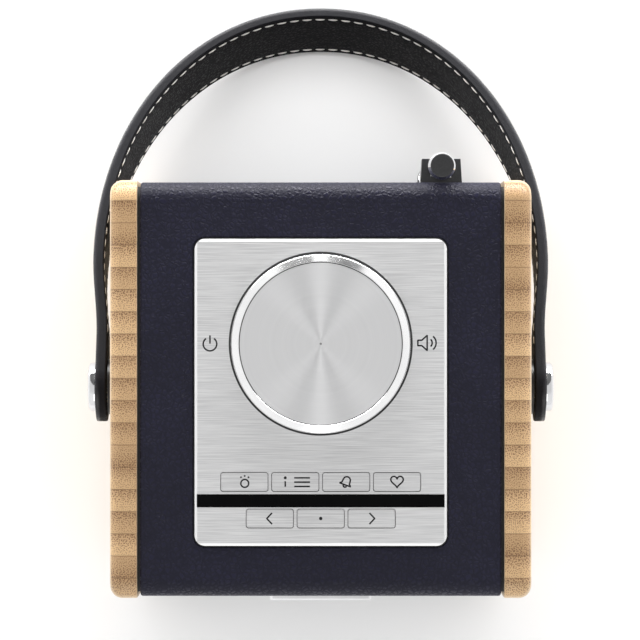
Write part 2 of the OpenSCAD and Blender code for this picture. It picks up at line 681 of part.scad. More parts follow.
module strap_eyelets() color("goldenrod") both_sides() at_rest_tilt() difference() {
    rod_x(strap_root_x - strap_t, strap_root_x, eyelet_r);
    rod_x(strap_root_x - 5, strap_root_x + 1, hub_r + 0.08);
}
module pivot_bushes() color("dimgray") both_sides() translate([0, 0, pivot_z]) difference() {
    union() {
        rod_x(cabinet_w / 2, strap_root_x - strap_t - 0.2, bush_r);
        rod_x(cabinet_w / 2, strap_root_x + 0.2, hub_r);
    }
    rod_x(cabinet_w / 2 - 1, strap_root_x + 1, 3);
}
module pivot_inserts() color("goldenrod") both_sides() translate([0, 0, pivot_z]) difference() {
    rod_x(panel_x + 0.8, cabinet_w / 2, 4.48);
    rod_x(panel_x, cabinet_w, 3);
}
module pivot_bolts() color("silver") both_sides() translate([0, 0, pivot_z]) {
    rod_x(panel_x + 1.2, strap_root_x + 0.3, 2.95);
    difference() {
        translate([strap_root_x + 0.2, 0, 0]) rotate([0, 90, 0]) rotate_extrude()
            polygon([[0, 0], [bolt_r, 0], [bolt_r, 1.6], [bolt_r - 0.6, 2.2], [0, 2.2]]);
        translate([strap_root_x + 1.2, 0, 0]) rotate([0, 90, 0]) cylinder(h = 3, r = 2.9, $fn = 6);
    }
}

// ---------- wiring ----------

// Round lead swept along a list of points
lead_sides = 8;
function lead_dir(p, i) = unit(p[min(i + 1, len(p) - 1)] - p[max(i - 1, 0)]);
function lead_ring(c, d, r) =
    let (side = unit(cross(d, abs(d[0]) < 0.9 ? [1, 0, 0] : [0, 1, 0])), up = cross(d, side))
    [for (k = [0 : lead_sides - 1]) let (a = 360 * k / lead_sides)
        c + r * (cos(a) * side + sin(a) * up)];
module lead(points, r) {
    n = len(points);
    verts = [for (i = [0 : n - 1]) each lead_ring(points[i], lead_dir(points, i), r)];
    walls = [for (i = [0 : n - 2], k = [0 : lead_sides - 1]) let (
        a = i * lead_sides + k, b = i * lead_sides + (k + 1) % lead_sides)
        each [[a, b, b + lead_sides], [a, b + lead_sides, a + lead_sides]]];
    first = [for (k = [lead_sides - 1 : -1 : 0]) k];
    last = [for (k = [0 : lead_sides - 1]) (n - 1) * lead_sides + k];
    polyhedron(verts, concat(walls, [first, last]));
}
speaker_lead_path = [[-22, -30, 33], [-24, -22, 32], [-26, -8, 36], [-28, 10, 46], [-30, 26, 56],
    [-31, 34, 60], [-31, 40, 61]];
battery_lead_path = [[17.2, 40, 32], [22, 39, 34], [25, 36, 42], [25, 33, 52], [23, 34, 58],
    [20, 37, 60], [18, 40, 60]];
aerial_lead_path = [[26, 52.7, 22], [27, 48, 25], [31.5, 45, 34], [33.5, 42, 48], [33, 38, 62],
    [26, 36, 74], [16, 36.5, 79], [8.4, 37, 80]];
ribbon_path = [[0, 36, 99.6], [0, 35, 97], [0, 33, 94], [0, 35.5, 92], [0, 40, 92]];

module wiring_loom() {
    color("crimson") for (dx = [0, 1.9]) translate([dx, 0, 0]) lead(speaker_lead_path, 0.7);
    color("orangered") lead(battery_lead_path, 0.8);
    color("black") lead(aerial_lead_path, 0.7);
    color("gray") for (dx = [14 : 1.6 : 22]) translate([dx, 0, 0]) lead(ribbon_path, 0.5);
}

cabinet_frame();
leather_wrap();
left_side_panel();
right_side_panel();
panel_gaskets();
base_plate();
grip_pad();
case_screws();
control_plate();
display_window();
display_module();
control_board();
button_switches();
board_screws();
encoder_body();
encoder_plunger();
encoder_shaft();
encoder_nut();
dial_body();
dial_cap();
button_light();
button_menu();
button_alarm();
button_favourite();
button_previous();
button_select();
button_next();
main_board();
tuner_module();
rear_plate();
dc_jack();
usb_port();
audio_jacks();
battery_pack();
battery_cover();
cover_screws();
speaker_basket();
speaker_magnet();
speaker_cone();
speaker_surround();
speaker_spider();
voice_coil();
speaker_grille();
grille_cloth();
front_trim_bar();
antenna_base();
antenna_clip();
antenna_swivel();
antenna_elbow();
antenna_tube_1();
antenna_tube_2();
antenna_tube_3();
antenna_tip();
strap_leather();
strap_lining();
strap_eyelets();
pivot_bolts();
pivot_bushes();
pivot_inserts();
wiring_loom();
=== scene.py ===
# %% [markdown]
# # A leather radio with bamboo ends
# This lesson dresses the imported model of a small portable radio. The frame gives every
# solid at its true place, in metres, with X to the right, Y to the back and Z up. Solids
# whose shape is already right only get a finish. The soft and the finely rounded pieces
# (leather, bamboo, strap, dial) are modelled again here, at the places the frame gives.

# %% Load the frame
import bpy, json, math
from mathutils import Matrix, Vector

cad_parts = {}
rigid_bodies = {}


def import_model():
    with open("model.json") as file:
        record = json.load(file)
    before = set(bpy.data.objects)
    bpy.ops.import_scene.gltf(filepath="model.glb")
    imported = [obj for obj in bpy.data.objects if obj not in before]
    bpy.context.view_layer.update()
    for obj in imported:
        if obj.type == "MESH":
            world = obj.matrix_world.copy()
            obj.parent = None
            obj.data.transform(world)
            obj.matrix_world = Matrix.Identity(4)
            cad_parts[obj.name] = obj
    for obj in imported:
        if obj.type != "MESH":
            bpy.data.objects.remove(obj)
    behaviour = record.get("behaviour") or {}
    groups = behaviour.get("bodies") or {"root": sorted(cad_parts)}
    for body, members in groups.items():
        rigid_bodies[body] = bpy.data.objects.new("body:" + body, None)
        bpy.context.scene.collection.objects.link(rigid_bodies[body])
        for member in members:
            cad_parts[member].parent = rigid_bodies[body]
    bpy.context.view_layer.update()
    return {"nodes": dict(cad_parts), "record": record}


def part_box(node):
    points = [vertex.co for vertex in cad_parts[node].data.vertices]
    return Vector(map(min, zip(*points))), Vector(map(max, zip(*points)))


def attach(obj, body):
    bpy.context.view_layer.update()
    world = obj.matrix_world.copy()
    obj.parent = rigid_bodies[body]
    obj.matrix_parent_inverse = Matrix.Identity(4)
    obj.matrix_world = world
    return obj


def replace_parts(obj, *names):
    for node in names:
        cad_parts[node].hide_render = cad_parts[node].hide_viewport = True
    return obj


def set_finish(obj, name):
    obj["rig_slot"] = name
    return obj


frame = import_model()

MM = 0.001
slot_of = {part["node"]: part["material_slot"] for part in frame["record"]["subparts"]}
print("nodes", len(frame["nodes"]), "finishes", len(set(slot_of.values())))

# %% [markdown]
# ## Where we look from
# The radio is seen from straight above, a metre over its top, so a long lens keeps the
# vertical sides almost hidden. The camera stands a little behind the middle of the body,
# over the middle of the body and strap together. A camera with no turn looks down, with
# +Y at the top of the frame.

# %% Camera
plate_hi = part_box("control_plate")[1]
bpy.ops.object.camera_add(location=(-0.0002, 0.0194, plate_hi.z + 1.0), rotation=(0, 0, 0))
camera = bpy.context.object
camera.data.sensor_width = 36
camera.data.lens = 201.6
bpy.context.scene.camera = camera
print("camera height", round(camera.location.z, 3))

# %% [markdown]
# ## A plain pale studio
# The floor is a large pale sheet under the radio. Two narrow strip lights stand in front
# of and behind the radio: they light the brushed plate and draw the slim wedge on the
# spun disc. A low, wide box behind gives the bright rear edges. A studio lights its
# background paper apart from the object, so three lamps are linked to the floor alone,
# and the low box behind leaves the floor out.

# %% Floor and lights
bpy.ops.mesh.primitive_plane_add(size=6, location=(0, 0, -0.0002))
floor = bpy.context.object
floor.name = "floor"

def soft_box(name, place, aim, width, height, watts):
    """A rectangular area light at a place, turned towards a point."""
    bpy.ops.object.light_add(type="AREA", location=place)
    lamp = bpy.context.object
    lamp.name = name
    lamp.data.shape = "RECTANGLE"
    lamp.data.size, lamp.data.size_y, lamp.data.energy = width, height, watts
    lamp.rotation_euler = (Vector(aim) - Vector(place)).to_track_quat("-Z", "Y").to_euler()
    return lamp

radio_middle, loop_middle = (0, 0, 0.08), (0, 0.08, 0)
soft_box("rear_strip", (0.0, 0.95, 0.80), radio_middle, 0.17, 0.8, 0.5)
soft_box("front_strip", (0.0, -0.95, 0.80), radio_middle, 0.26, 0.8, 1.2)
rear_box = soft_box("rear_box", (0.0, 0.75, 0.18), radio_middle, 1.8, 0.28, 24)
paper_lights = [soft_box("paper_light", (x, y, 0.95), loop_middle, 0.9, 0.7, watts)
                for x, y, watts in ((-0.75, 0.60, 2.4), (0.0, 0.75, 6.5), (0.75, 0.60, 2.4))]

paper_only = bpy.data.collections.new("paper_only")
paper_only.objects.link(floor)
for lamp in paper_lights:
    lamp.light_linking.receiver_collection = paper_only
not_paper = bpy.data.collections.new("not_paper")
not_paper.objects.link(floor)
not_paper.collection_objects[0].light_linking.link_state = "EXCLUDE"
rear_box.light_linking.receiver_collection = not_paper

bpy.context.scene.view_settings.view_transform = "Standard"

# %% [markdown]
# ## Bench tools
# A few helpers keep the cells below short. Every operator works on what is selected, so
# each starts from nothing selected. select() goes to edit mode with only the vertices,
# edges or faces that pass a test on their middle, in millimetres, and their direction.

# %% Modelling helpers
def bare_bench():
    """Object mode, with nothing selected."""
    if bpy.context.object and bpy.context.object.mode != "OBJECT":
        bpy.ops.object.mode_set(mode="OBJECT")
    bpy.ops.object.select_all(action="DESELECT")

def pick(piece):
    """Object mode, with only this piece selected and active."""
    bare_bench()
    piece.select_set(True)
    bpy.context.view_layer.objects.active = piece

def settle(piece, name=None):
    """Brings a piece's place, turn and size into its mesh."""
    pick(piece)
    bpy.ops.object.transform_apply(location=True, rotation=True, scale=True)
    if name:
        piece.name = piece.data.name = name
    return piece

def block(name, lo, hi):
    """A block between two corners, in metres."""
    bare_bench()
    lo, hi = Vector(lo), Vector(hi)
    bpy.ops.mesh.primitive_cube_add(size=1, location=(lo + hi) / 2, scale=hi - lo)
    return settle(bpy.context.object, name)

def select(piece, kind, test):
    """Edit mode, with the parts of one kind selected that pass the test."""
    pick(piece)
    bpy.ops.object.mode_set(mode="EDIT")
    bpy.ops.mesh.select_mode(type=kind)
    bpy.ops.mesh.select_all(action="DESELECT")
    bpy.ops.object.mode_set(mode="OBJECT")
    mesh = piece.data
    if kind == "FACE":
        for face in mesh.polygons:
            face.select = bool(test(face.center / MM, face.normal))
    elif kind == "EDGE":
        for edge in mesh.edges:
            a, b = (mesh.vertices[i].co for i in edge.vertices)
            edge.select = bool(test((a + b) / 2 / MM, (b - a).normalized()))
    else:
        for vertex in mesh.vertices:
            vertex.select = bool(test(vertex.co / MM, vertex.normal))
    bpy.ops.object.mode_set(mode="EDIT")

def apply(piece, kind, **settings):
    """Adds a modifier and applies it."""
    pick(piece)
    modifier = piece.modifiers.new(kind, kind)
    for key, value in settings.items():
        setattr(modifier, key, value)
    bpy.ops.object.modifier_apply(modifier=modifier.name)
    return piece

def cut(piece, cutter):
    """Cuts a piece with a closed cutter, which is then thrown away."""
    apply(piece, "BOOLEAN", object=cutter, operation="DIFFERENCE", solver="EXACT")
    bpy.data.objects.remove(cutter)

def bore(piece, radius, depth, place, turn=(0, 0, 0), vertices=48):
    """Cuts a round hole, sized in mm; few vertices make it a socket with flats."""
    bare_bench()
    bpy.ops.mesh.primitive_cylinder_add(vertices=vertices, radius=radius * MM, depth=depth * MM,
                                        location=place, rotation=turn)
    cut(piece, settle(bpy.context.object))

def round_edges(piece, test, radius, segments):
    """Rounds the edges that pass a test, and stays in edit mode."""
    select(piece, "EDGE", test)
    bpy.ops.mesh.bevel(offset=radius * MM, segments=segments, affect="EDGES")

def ease(piece, width, segments, degrees):
    """Rounds every edge that turns by more than an angle."""
    apply(piece, "BEVEL", width=width * MM, segments=segments, limit_method="ANGLE",
          angle_limit=math.radians(degrees))

def join(pieces):
    """Joins pieces into the first of them."""
    bare_bench()
    for piece in pieces:
        piece.select_set(True)
    bpy.context.view_layer.objects.active = pieces[0]
    if len(pieces) > 1:
        bpy.ops.object.join()
    return pieces[0]

def soften(piece, degrees=40):
    """Smooth shading, with the broad flat faces kept flat."""
    pick(piece)
    bpy.ops.object.shade_smooth_by_angle(angle=math.radians(degrees))
    return apply(piece, "WEIGHTED_NORMAL", keep_sharp=True, weight=50)

def rounded_prism(lo, hi, axis, corner):
    """A block whose four edges along one axis (0, 1 or 2) are rounded."""
    prism = block("cutter", lo, hi)
    round_edges(prism, lambda p, d: abs(d[axis]) > 0.9, corner, 8)
    bare_bench()
    return prism

def window(node, axis, gap, corner, reach):
    """Cutter for the opening round a fitted plate: its outline grown by a gap."""
    lo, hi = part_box(node)
    for i in range(3):
        if i == axis:
            middle = hi[i] if abs(hi[i]) > abs(lo[i]) else lo[i]
            lo[i], hi[i] = middle - reach * MM, middle + reach * MM
        else:
            lo[i], hi[i] = lo[i] - gap * MM, hi[i] + gap * MM
    return rounded_prism(lo, hi, axis, corner)

# %% [markdown]
# ## The leather wrap
# One hide is glued round the inner frame and turned in at both ends, beside the bamboo.
# It could be a plain box with a bump map, but its rounded long edges and soft turned-in
# ends catch the light. So a box loses its ends, its four long edges are bevelled to the
# leather's own radius, and it gets the hide's thickness. The openings for the plate, the
# grille and the rear panel are cut through it, and every raw rim is eased.

# %% Leather wrap
hide_thickness, hide_corner, rim_round, cut_round = 1.4, 5, 0.7, 0.35
leather_lo, leather_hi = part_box("leather_wrap")
leather = block("leather_cover", leather_lo, leather_hi)
select(leather, "FACE", lambda p, n: abs(n.x) > 0.9)
bpy.ops.mesh.delete(type="FACE")
round_edges(leather, lambda p, d: abs(d.x) > 0.9, hide_corner, 12)
apply(leather, "SOLIDIFY", thickness=hide_thickness * MM, offset=-1, use_even_offset=True)
cut(leather, window("control_plate", 2, 0.45, 3.4, 3))
cut(leather, window("speaker_grille", 1, 0.4, 6.4, 3))
cut(leather, window("rear_plate", 1, 0.3, 3.3, 3))
cut(leather, rounded_prism((-0.038, -0.042, 0), (0.038, 0.042, 0.007), 2, 4))

skin_mid = (leather_lo + leather_hi) / 2 / MM
skin_half = (leather_hi - leather_lo) / 2 / MM

def on_skin(p):
    """True on the outer face of the leather: its section is a rounded rectangle."""
    dy = max(abs(p.y - skin_mid.y) - skin_half.y + hide_corner, 0)
    dz = max(abs(p.z - skin_mid.z) - skin_half.z + hide_corner, 0)
    return math.hypot(dy, dz) > hide_corner - 0.1

round_edges(leather, lambda p, d: abs(p.x) > skin_half.x - 0.05 and on_skin(p), rim_round, 4)
ease(leather, cut_round, 3, 60)
soften(leather)
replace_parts(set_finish(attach(leather, "cabinet"), "navy_leather"), "leather_wrap")
print("leather faces", len(leather.data.polygons))

# %% [markdown]
# ## The cloth behind the grille
# A square of thin black speaker cloth is stretched behind the front grille, and shows
# through its holes. It is a thin slab with rounded corners, of the size the frame gives,
# because a stretched cloth is flat; its weave is left to its finish.

# %% Grille cloth
cloth_lo, cloth_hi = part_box("grille_cloth")
cloth_corner = 5
cloth = settle(rounded_prism(cloth_lo, cloth_hi, 1, cloth_corner), "speaker_cloth")
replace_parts(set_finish(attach(cloth, "cabinet"), "grille_cloth"), "grille_cloth")

# %% [markdown]
# ## The bamboo ends
# Each end is a thick board of upright bamboo strips glued side by side, with all its
# outer edges rounded over by a router. A box takes the corner rounding first, while its
# corner edges are still four simple edges, and then the router's larger rounding all
# round the outer face. A hole is bored for the insert of the strap's bolt. One function
# makes both boards, and the pattern in the wood still differs from side to side.

# %% Bamboo ends
board_corner, router_radius, inner_ease = 5.6, 3.5, 0.45
bore_radius, bore_length, bore_middle = 4.5, 7.2, 3.4
on_side = (0, math.pi / 2, 0)

def bamboo_board(node):
    """One bamboo end, at the place of its solid."""
    lo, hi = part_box(node)
    board = block(node.replace("side_panel", "bamboo_end"), lo, hi)
    outer = max(abs(lo.x), abs(hi.x)) / MM
    round_edges(board, lambda p, d: abs(d.x) > 0.9, board_corner, 10)
    round_edges(board, lambda p, d: abs(abs(p.x) - outer) < 0.01, router_radius, 8)
    round_edges(board, lambda p, d: abs(d.x) < 0.01 and abs(p.x) < outer - 7.6, inner_ease, 2)
    pivot_z = sum(corner.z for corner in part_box("pivot_bolts")) / 2
    side = math.copysign(1, lo.x)
    bore(board, bore_radius, bore_length, (side * (outer - bore_middle) * MM, 0, pivot_z), on_side)
    soften(board)
    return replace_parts(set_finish(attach(board, "cabinet"), "bamboo"), node)

right_board = bamboo_board("right_side_panel")
left_board = bamboo_board("left_side_panel")
print("boards", [tuple(round(v / MM, 2) for v in b.dimensions) for b in (right_board, left_board)])

# %% [markdown]
# ## The strap: a flat pattern first
# A saddler cuts a strap flat, with rounded ends and a punched hole, glues the lining to
# it and stitches both along the edges. Only then is it bent. The same order works here:
# a flat slab gets its round ends, eased edges and stitching grooves, is divided across
# its length, and a Curve modifier bends it along the arch. The arch rises straight from
# each pivot, swells a little and closes in a flattened half circle behind the radio.

# %% The arch that the strap follows
strap_width, strap_depth, strap_reach, strap_shoulder = 20.0, 2.2, 125.4, 38.0
root_x, widest_x, arch_power, strap_tilt = 65.0, 66.7, 2.05, math.radians(28.95)
pivot_lo, pivot_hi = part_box("pivot_bolts")
pivot_height = (pivot_lo.z + pivot_hi.z) / 2

def arch_half():
    """Points from a pivot end to the crown, across and away from the pivots."""
    points = [(root_x, v) for v in (-10, -5, 0, 4, 8, 10)]
    swell_start, swell_steps = 12, 26
    for i in range(swell_steps + 1):
        t = i / swell_steps
        points.append((root_x + (widest_x - root_x) * t * t * (3 - 2 * t),
                       swell_start + (strap_shoulder - swell_start) * t))
    for i in range(1, 60):
        a = math.radians(i * 1.5)
        points.append((widest_x * math.cos(a) ** (2 / arch_power),
                       strap_shoulder + (strap_reach - strap_shoulder) * math.sin(a) ** (2 / arch_power)))
    return points

right_half = arch_half()
arch_points = right_half + [(0, strap_reach)] + [(-x, v) for x, v in reversed(right_half)]
arch_length = sum(math.dist(a, b) for a, b in zip(arch_points, arch_points[1:]))
arch_data = bpy.data.curves.new("arch", "CURVE")
arch_data.dimensions = "2D"
arch_spline = arch_data.splines.new("POLY")
arch_spline.points.add(len(arch_points) - 1)
for point, (x, v) in zip(arch_spline.points, arch_points):
    point.co = (x * MM, v * MM, 0, 1)
arch = bpy.data.objects.new("arch", arch_data)
bpy.context.scene.collection.objects.link(arch)
print("strap cut length, mm", round(arch_length, 1))

# %% [markdown]
# The bend is applied while everything lies in the plane of the arch. The finished strap
# is then turned about the line of the pivots to lie back on the table. While the outer
# leather is still flat, every point of its cut edge notes how deep below the outer face
# it lies. The finish uses that: the edge is glossy only near the outside, and its colour
# is painted darker towards the lining, as painted shade.

# %% Flat patterns for leather and lining
eyelet_hole, bend_step, groove_half = 5.3, 2.4, 0.6
turned_edge, outer_sag, outer_groove, lining_groove = 0.85, 0.12, 0.25, 0.2

def strap_slab(name, top, thickness, width, easing, grooves):
    """A flat strap along X: depth below the outer face in Y, width in Z, in mm."""
    slab = block(name, (0, top * MM, -width / 2 * MM),
                 (arch_length * MM, (top + thickness) * MM, width / 2 * MM))
    round_edges(slab, lambda p, d: abs(d.y) > 0.9, width / 2 - 0.01, 14)
    for x in (width / 2, arch_length - width / 2):
        bore(slab, eyelet_hole, 20, (x * MM, 0, 0), (math.pi / 2, 0, 0), 40)
    ease(slab, easing, 4, 60)
    select(slab, "FACE", lambda p, n: True)
    for z in grooves:
        bpy.ops.mesh.select_all(action="SELECT")
        bpy.ops.mesh.bisect(plane_co=(0, 0, z * MM), plane_no=(0, 0, 1))
    cuts = int(arch_length / bend_step)
    for i in range(1, cuts):
        bpy.ops.mesh.select_all(action="SELECT")
        bpy.ops.mesh.bisect(plane_co=(arch_length * i / cuts * MM, 0, 0), plane_no=(1, 0, 0))
    bare_bench()
    return slab

def bend(piece):
    """Bends a flat piece along the arch and lays it back to rest."""
    apply(piece, "CURVE", object=arch, deform_axis="POS_X")
    piece.rotation_euler.x = -strap_tilt
    piece.location.z = pivot_height
    return settle(piece)

stitch_row = strap_width / 2 - 1.75
groove_cuts = [s * (stitch_row + d) for s in (-1, 1) for d in (-groove_half, 0, groove_half)] + [-5, 0, 5]
strap = strap_slab("strap_outer", 0, strap_depth + turned_edge, strap_width, 1.45, groove_cuts)
for vertex in strap.data.vertices:
    across = vertex.co.z / MM
    if vertex.co.y < 0.01 * MM:
        vertex.co.y += outer_sag * (across / 10) ** 2 * MM
        if abs(abs(across) - stitch_row) < 0.1:
            vertex.co.y += outer_groove * MM
flat_depth = strap.data.attributes.new("flat_depth", "FLOAT", "POINT")
for note, vertex in zip(flat_depth.data, strap.data.vertices):
    on_edge = abs(vertex.co.z) > 8.2 * MM or vertex.co.y > 0.5 * MM
    note.value = vertex.co.y / MM / strap_depth if on_edge else 0.0
bend(strap)
soften(strap, 50)
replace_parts(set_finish(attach(strap, "handle"), "strap_leather"), "strap_leather")

lining = strap_slab("strap_inner", strap_depth + 0.4, 0.6, strap_width - 1.7, 0.2, groove_cuts)
for vertex in lining.data.vertices:
    if vertex.co.y > (strap_depth + 0.99) * MM and abs(abs(vertex.co.z / MM) - stitch_row) < 0.1:
        vertex.co.y -= lining_groove * MM
bend(lining)
soften(lining, 50)
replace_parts(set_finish(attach(lining, "handle"), "strap_lining"), "strap_lining")

# %% [markdown]
# ## Stitching
# Two rows of pale thread hold leather and lining together, one close to each edge. One
# stitch is a small flattened bead with few faces, because it comes back hundreds of
# times. It is repeated along the flat strap with an Array modifier, and bent with the
# same arch, so that every stitch lies in its groove.

# %% Stitches
stitch_pitch, stitch_start = 4.15, 21.0
stitch_count = int((arch_length - 2 * stitch_start) / stitch_pitch) + 1
rows = []
for side in (-1, 1):
    for depth in (0.2, 3.04):
        bare_bench()
        bpy.ops.mesh.primitive_uv_sphere_add(segments=8, ring_count=6, radius=1,
            location=(stitch_start * MM, depth * MM, side * stitch_row * MM), rotation=on_side)
        bead = bpy.context.object
        bead.scale = (0.42 * MM, 0.30 * MM, 1.55 * MM)
        rows.append(settle(bead))
stitches = join(rows)
stitches.name = stitches.data.name = "strap_stitching"
apply(stitches, "ARRAY", count=stitch_count, use_relative_offset=False,
      use_constant_offset=True, constant_offset_displace=(stitch_pitch * MM, 0, 0))
pick(bend(stitches))
bpy.ops.object.shade_smooth()
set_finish(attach(stitches, "handle"), "white_nylon")
bpy.data.objects.remove(arch)
print("stitches", 4 * stitch_count, "faces", len(stitches.data.polygons))

# %% [markdown]
# ## Turned parts
# The dial, its spun disc and the bolt heads come off a lathe. A disc drawn up ring by
# ring, each ring scaled to its own radius, gives the same closed round shape, and a
# small bevel polishes the edges. It is clearer to read than a spun outline: the list of
# radii and heights is the drawing that the turner would get.

# %% Lathe helper
def turned(name, centre, rings, vertices=128, bevel=0.12):
    """A closed turned part about a vertical axis. Rings are (radius, height) in mm."""
    bare_bench()
    radius, height = rings[0]
    bpy.ops.mesh.primitive_circle_add(vertices=vertices, radius=radius * MM,
        fill_type="NGON", location=(centre[0], centre[1], height * MM))
    piece = settle(bpy.context.object, name)
    bpy.ops.object.mode_set(mode="EDIT")
    bpy.ops.mesh.select_all(action="SELECT")
    for r, z in rings[1:]:
        bpy.ops.mesh.extrude_region_move(TRANSFORM_OT_translate={"value": (0, 0, (z - height) * MM)})
        bpy.ops.transform.resize(value=(r / radius, r / radius, 1),
                                 center_override=(centre[0], centre[1], z * MM))
        radius, height = r, z
    bpy.ops.mesh.select_all(action="SELECT")
    bpy.ops.mesh.normals_make_consistent(inside=False)
    if bevel:
        ease(piece, bevel, 2, 24)
    return piece

# %% [markdown]
# The dial is a shallow cup of turned aluminium. Its rim is a polished ring that slopes
# outwards, and the cup holds a spun disc with a small centre dimple, painted dark as
# painted shade. A fine gap is left round the disc, floored by a black seat that darkens
# it as painted shade, and a thin black ring under the foot of the dial is painted
# shadow: both show as the dark lines that frame the bright ring.

# %% Dial and disc
dial_lo, dial_hi = (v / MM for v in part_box("dial_body"))
dial_axis = ((dial_lo.x + dial_hi.x) / 2 * MM, (dial_lo.y + dial_hi.y) / 2 * MM)
dial_r, zb, zt = (dial_hi.x - dial_lo.x) / 2, dial_lo.z, dial_hi.z
cap_lo, cap_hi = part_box("dial_cap")
disc_r, disc_z = (cap_hi.x - cap_lo.x) / 2 / MM, cap_hi.z / MM
dial = turned("dial_ring", dial_axis, [
    (8.2, zb + 2.2), (8.2, zb), (dial_r - 0.6, zb), (dial_r, zb + 0.6), (dial_r, zt - 1.5),
    (dial_r - 0.25, zt - 1.1), (disc_r + 0.45, zt - 0.05), (disc_r + 0.28, zt),
    (disc_r + 0.2, zt - 0.15), (disc_r + 0.2, zt - 1.1), (5.0, zt - 1.1)])
soften(dial, 30)
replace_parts(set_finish(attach(dial, "dial"), "turned_aluminium"), "dial_body")
disc = turned("dial_disc", dial_axis, [
    (disc_r - 0.1, disc_z - 0.98), (disc_r, disc_z - 0.9), (disc_r, disc_z - 0.1), (disc_r - 0.1, disc_z),
    (16.0, disc_z), (8.0, disc_z), (0.26, disc_z), (0.2, disc_z - 0.12), (0.08, disc_z - 0.15)], bevel=0)
soften(disc, 30)
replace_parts(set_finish(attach(disc, "dial"), "spun_aluminium"), "dial_cap")
# A black seat under the disc's rim, which also floors the gap round the disc in black, as painted shade.
seat_and_gap_shade = turned("dial_seat", dial_axis, [(disc_r - 0.4, zt - 1.12), (disc_r + 0.25, zt - 1.12),
    (disc_r + 0.25, zt - 0.7), (disc_r - 0.02, zt - 0.7), (disc_r - 0.02, zt - 1.08)], vertices=96, bevel=0)
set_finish(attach(seat_and_gap_shade, "dial"), "black_rubber")
plate_top = plate_hi.z / MM
# A thin black ring under the foot of the dial, put there as painted shadow in the gap between dial and
# plate.
shadow_ring_in, shadow_ring_out, shadow_ring_bottom, shadow_ring_top = 24.6, dial_r + 0.72, plate_top - 0.02, plate_top + 0.08
shadow_ring = turned("dial_felt", dial_axis, [(shadow_ring_in, shadow_ring_bottom), (shadow_ring_out, shadow_ring_bottom),
                                       (shadow_ring_out, shadow_ring_top), (shadow_ring_in, shadow_ring_top)], bevel=0)
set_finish(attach(shadow_ring, "cabinet"), "black_rubber")
print("dial", round(2 * dial_r, 2), "disc", round(2 * disc_r, 2), "top", round(zt, 2))

# %% [markdown]
# ## Pivot bolts and the aerial's end
# The strap hangs on two bolts with low domed heads and a hexagon socket, turned like the
# dial and then laid over on their sides. The end of the aerial is closed by a small dark
# plug that is pressed into its cap.

# %% Bolts and aerial plug
def pivot_bolt(side):
    """A bolt with its domed head outside, on the right (1) or the left (-1)."""
    z = pivot_height / MM
    outer = pivot_hi.x / MM
    bolt = turned("pivot_bolt_" + ("right" if side > 0 else "left"), (0, 0), [
        (2.95, -14), (2.95, -2.2), (7.1, -2.2), (7.1, -0.9), (6.9, -0.45), (6.3, -0.12), (5.4, 0.0),
        (3.3, 0.0)], vertices=96, bevel=0.1)
    bore(bolt, 2.9, 2, (0, 0, 0), vertices=6)
    ease(bolt, 0.12, 2, 50)
    bolt.rotation_euler.y = side * math.pi / 2
    bolt.location = (side * outer * MM, 0, z * MM)
    return soften(settle(bolt), 30)

bolts = [pivot_bolt(1), pivot_bolt(-1)]
for bolt in bolts:
    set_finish(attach(bolt, "cabinet"), "chrome")
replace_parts(bolts[0], "pivot_bolts")

tip_lo, tip_hi = (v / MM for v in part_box("antenna_tip"))
tip_axis = ((tip_lo.x + tip_hi.x) / 2 * MM, (tip_lo.y + tip_hi.y) / 2 * MM)
tip_r = (tip_hi.x - tip_lo.x) / 2
plug_r = tip_r - 0.55
plug = turned("aerial_plug", tip_axis, [
    (plug_r - 0.5, tip_hi.z - 0.6), (plug_r, tip_hi.z - 0.4), (plug_r, tip_hi.z - 0.05),
    (plug_r - 0.26, tip_hi.z + 0.1), (1.2, tip_hi.z + 0.14)], vertices=48, bevel=0.05)
print("aerial cap radius", round(tip_r, 2))
soften(plug, 30)
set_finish(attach(plug, "aerial_tip"), "black_plastic")
print("bolt heads at", [round(max(abs(c[0]) for c in b.bound_box) / MM, 2) for b in bolts])

# %% [markdown]
# ## Printed marks
# Small marks say what each key does: a lamp, a list, a bell, a heart, two arrows and a
# dot, and a power and a loudness mark beside the dial. They are drawn as thin lines of
# ink. Each is a curve with a fine round section, made a mesh and pressed almost flat on
# its surface, so that it stays crisp at any distance. It rides with the key it is on.

# %% Mark helper
def arc(x, y, r, start, end, steps=18):
    """Points on a circle, in mm, between two angles in degrees."""
    return [(x + r * math.cos(math.radians(start + (end - start) * i / steps)),
             y + r * math.sin(math.radians(start + (end - start) * i / steps))) for i in range(steps + 1)]

def turned_by(points, degrees):
    """Points turned about the mark's middle."""
    c, d = math.cos(math.radians(degrees)), math.sin(math.radians(degrees))
    return [(x * c - y * d, x * d + y * c) for x, y in points]

def full_width(points, reach=0.08):
    """Adds a point near both ends of every long straight, so that no corner thins the line."""
    filled = [points[0]]
    for (x0, y0), (x1, y1) in zip(points, points[1:]):
        length = math.dist((x0, y0), (x1, y1))
        if length > 4 * reach:
            for t in (reach / length, 1 - reach / length):
                filled.append((x0 + (x1 - x0) * t, y0 + (y1 - y0) * t))
        filled.append((x1, y1))
    return filled

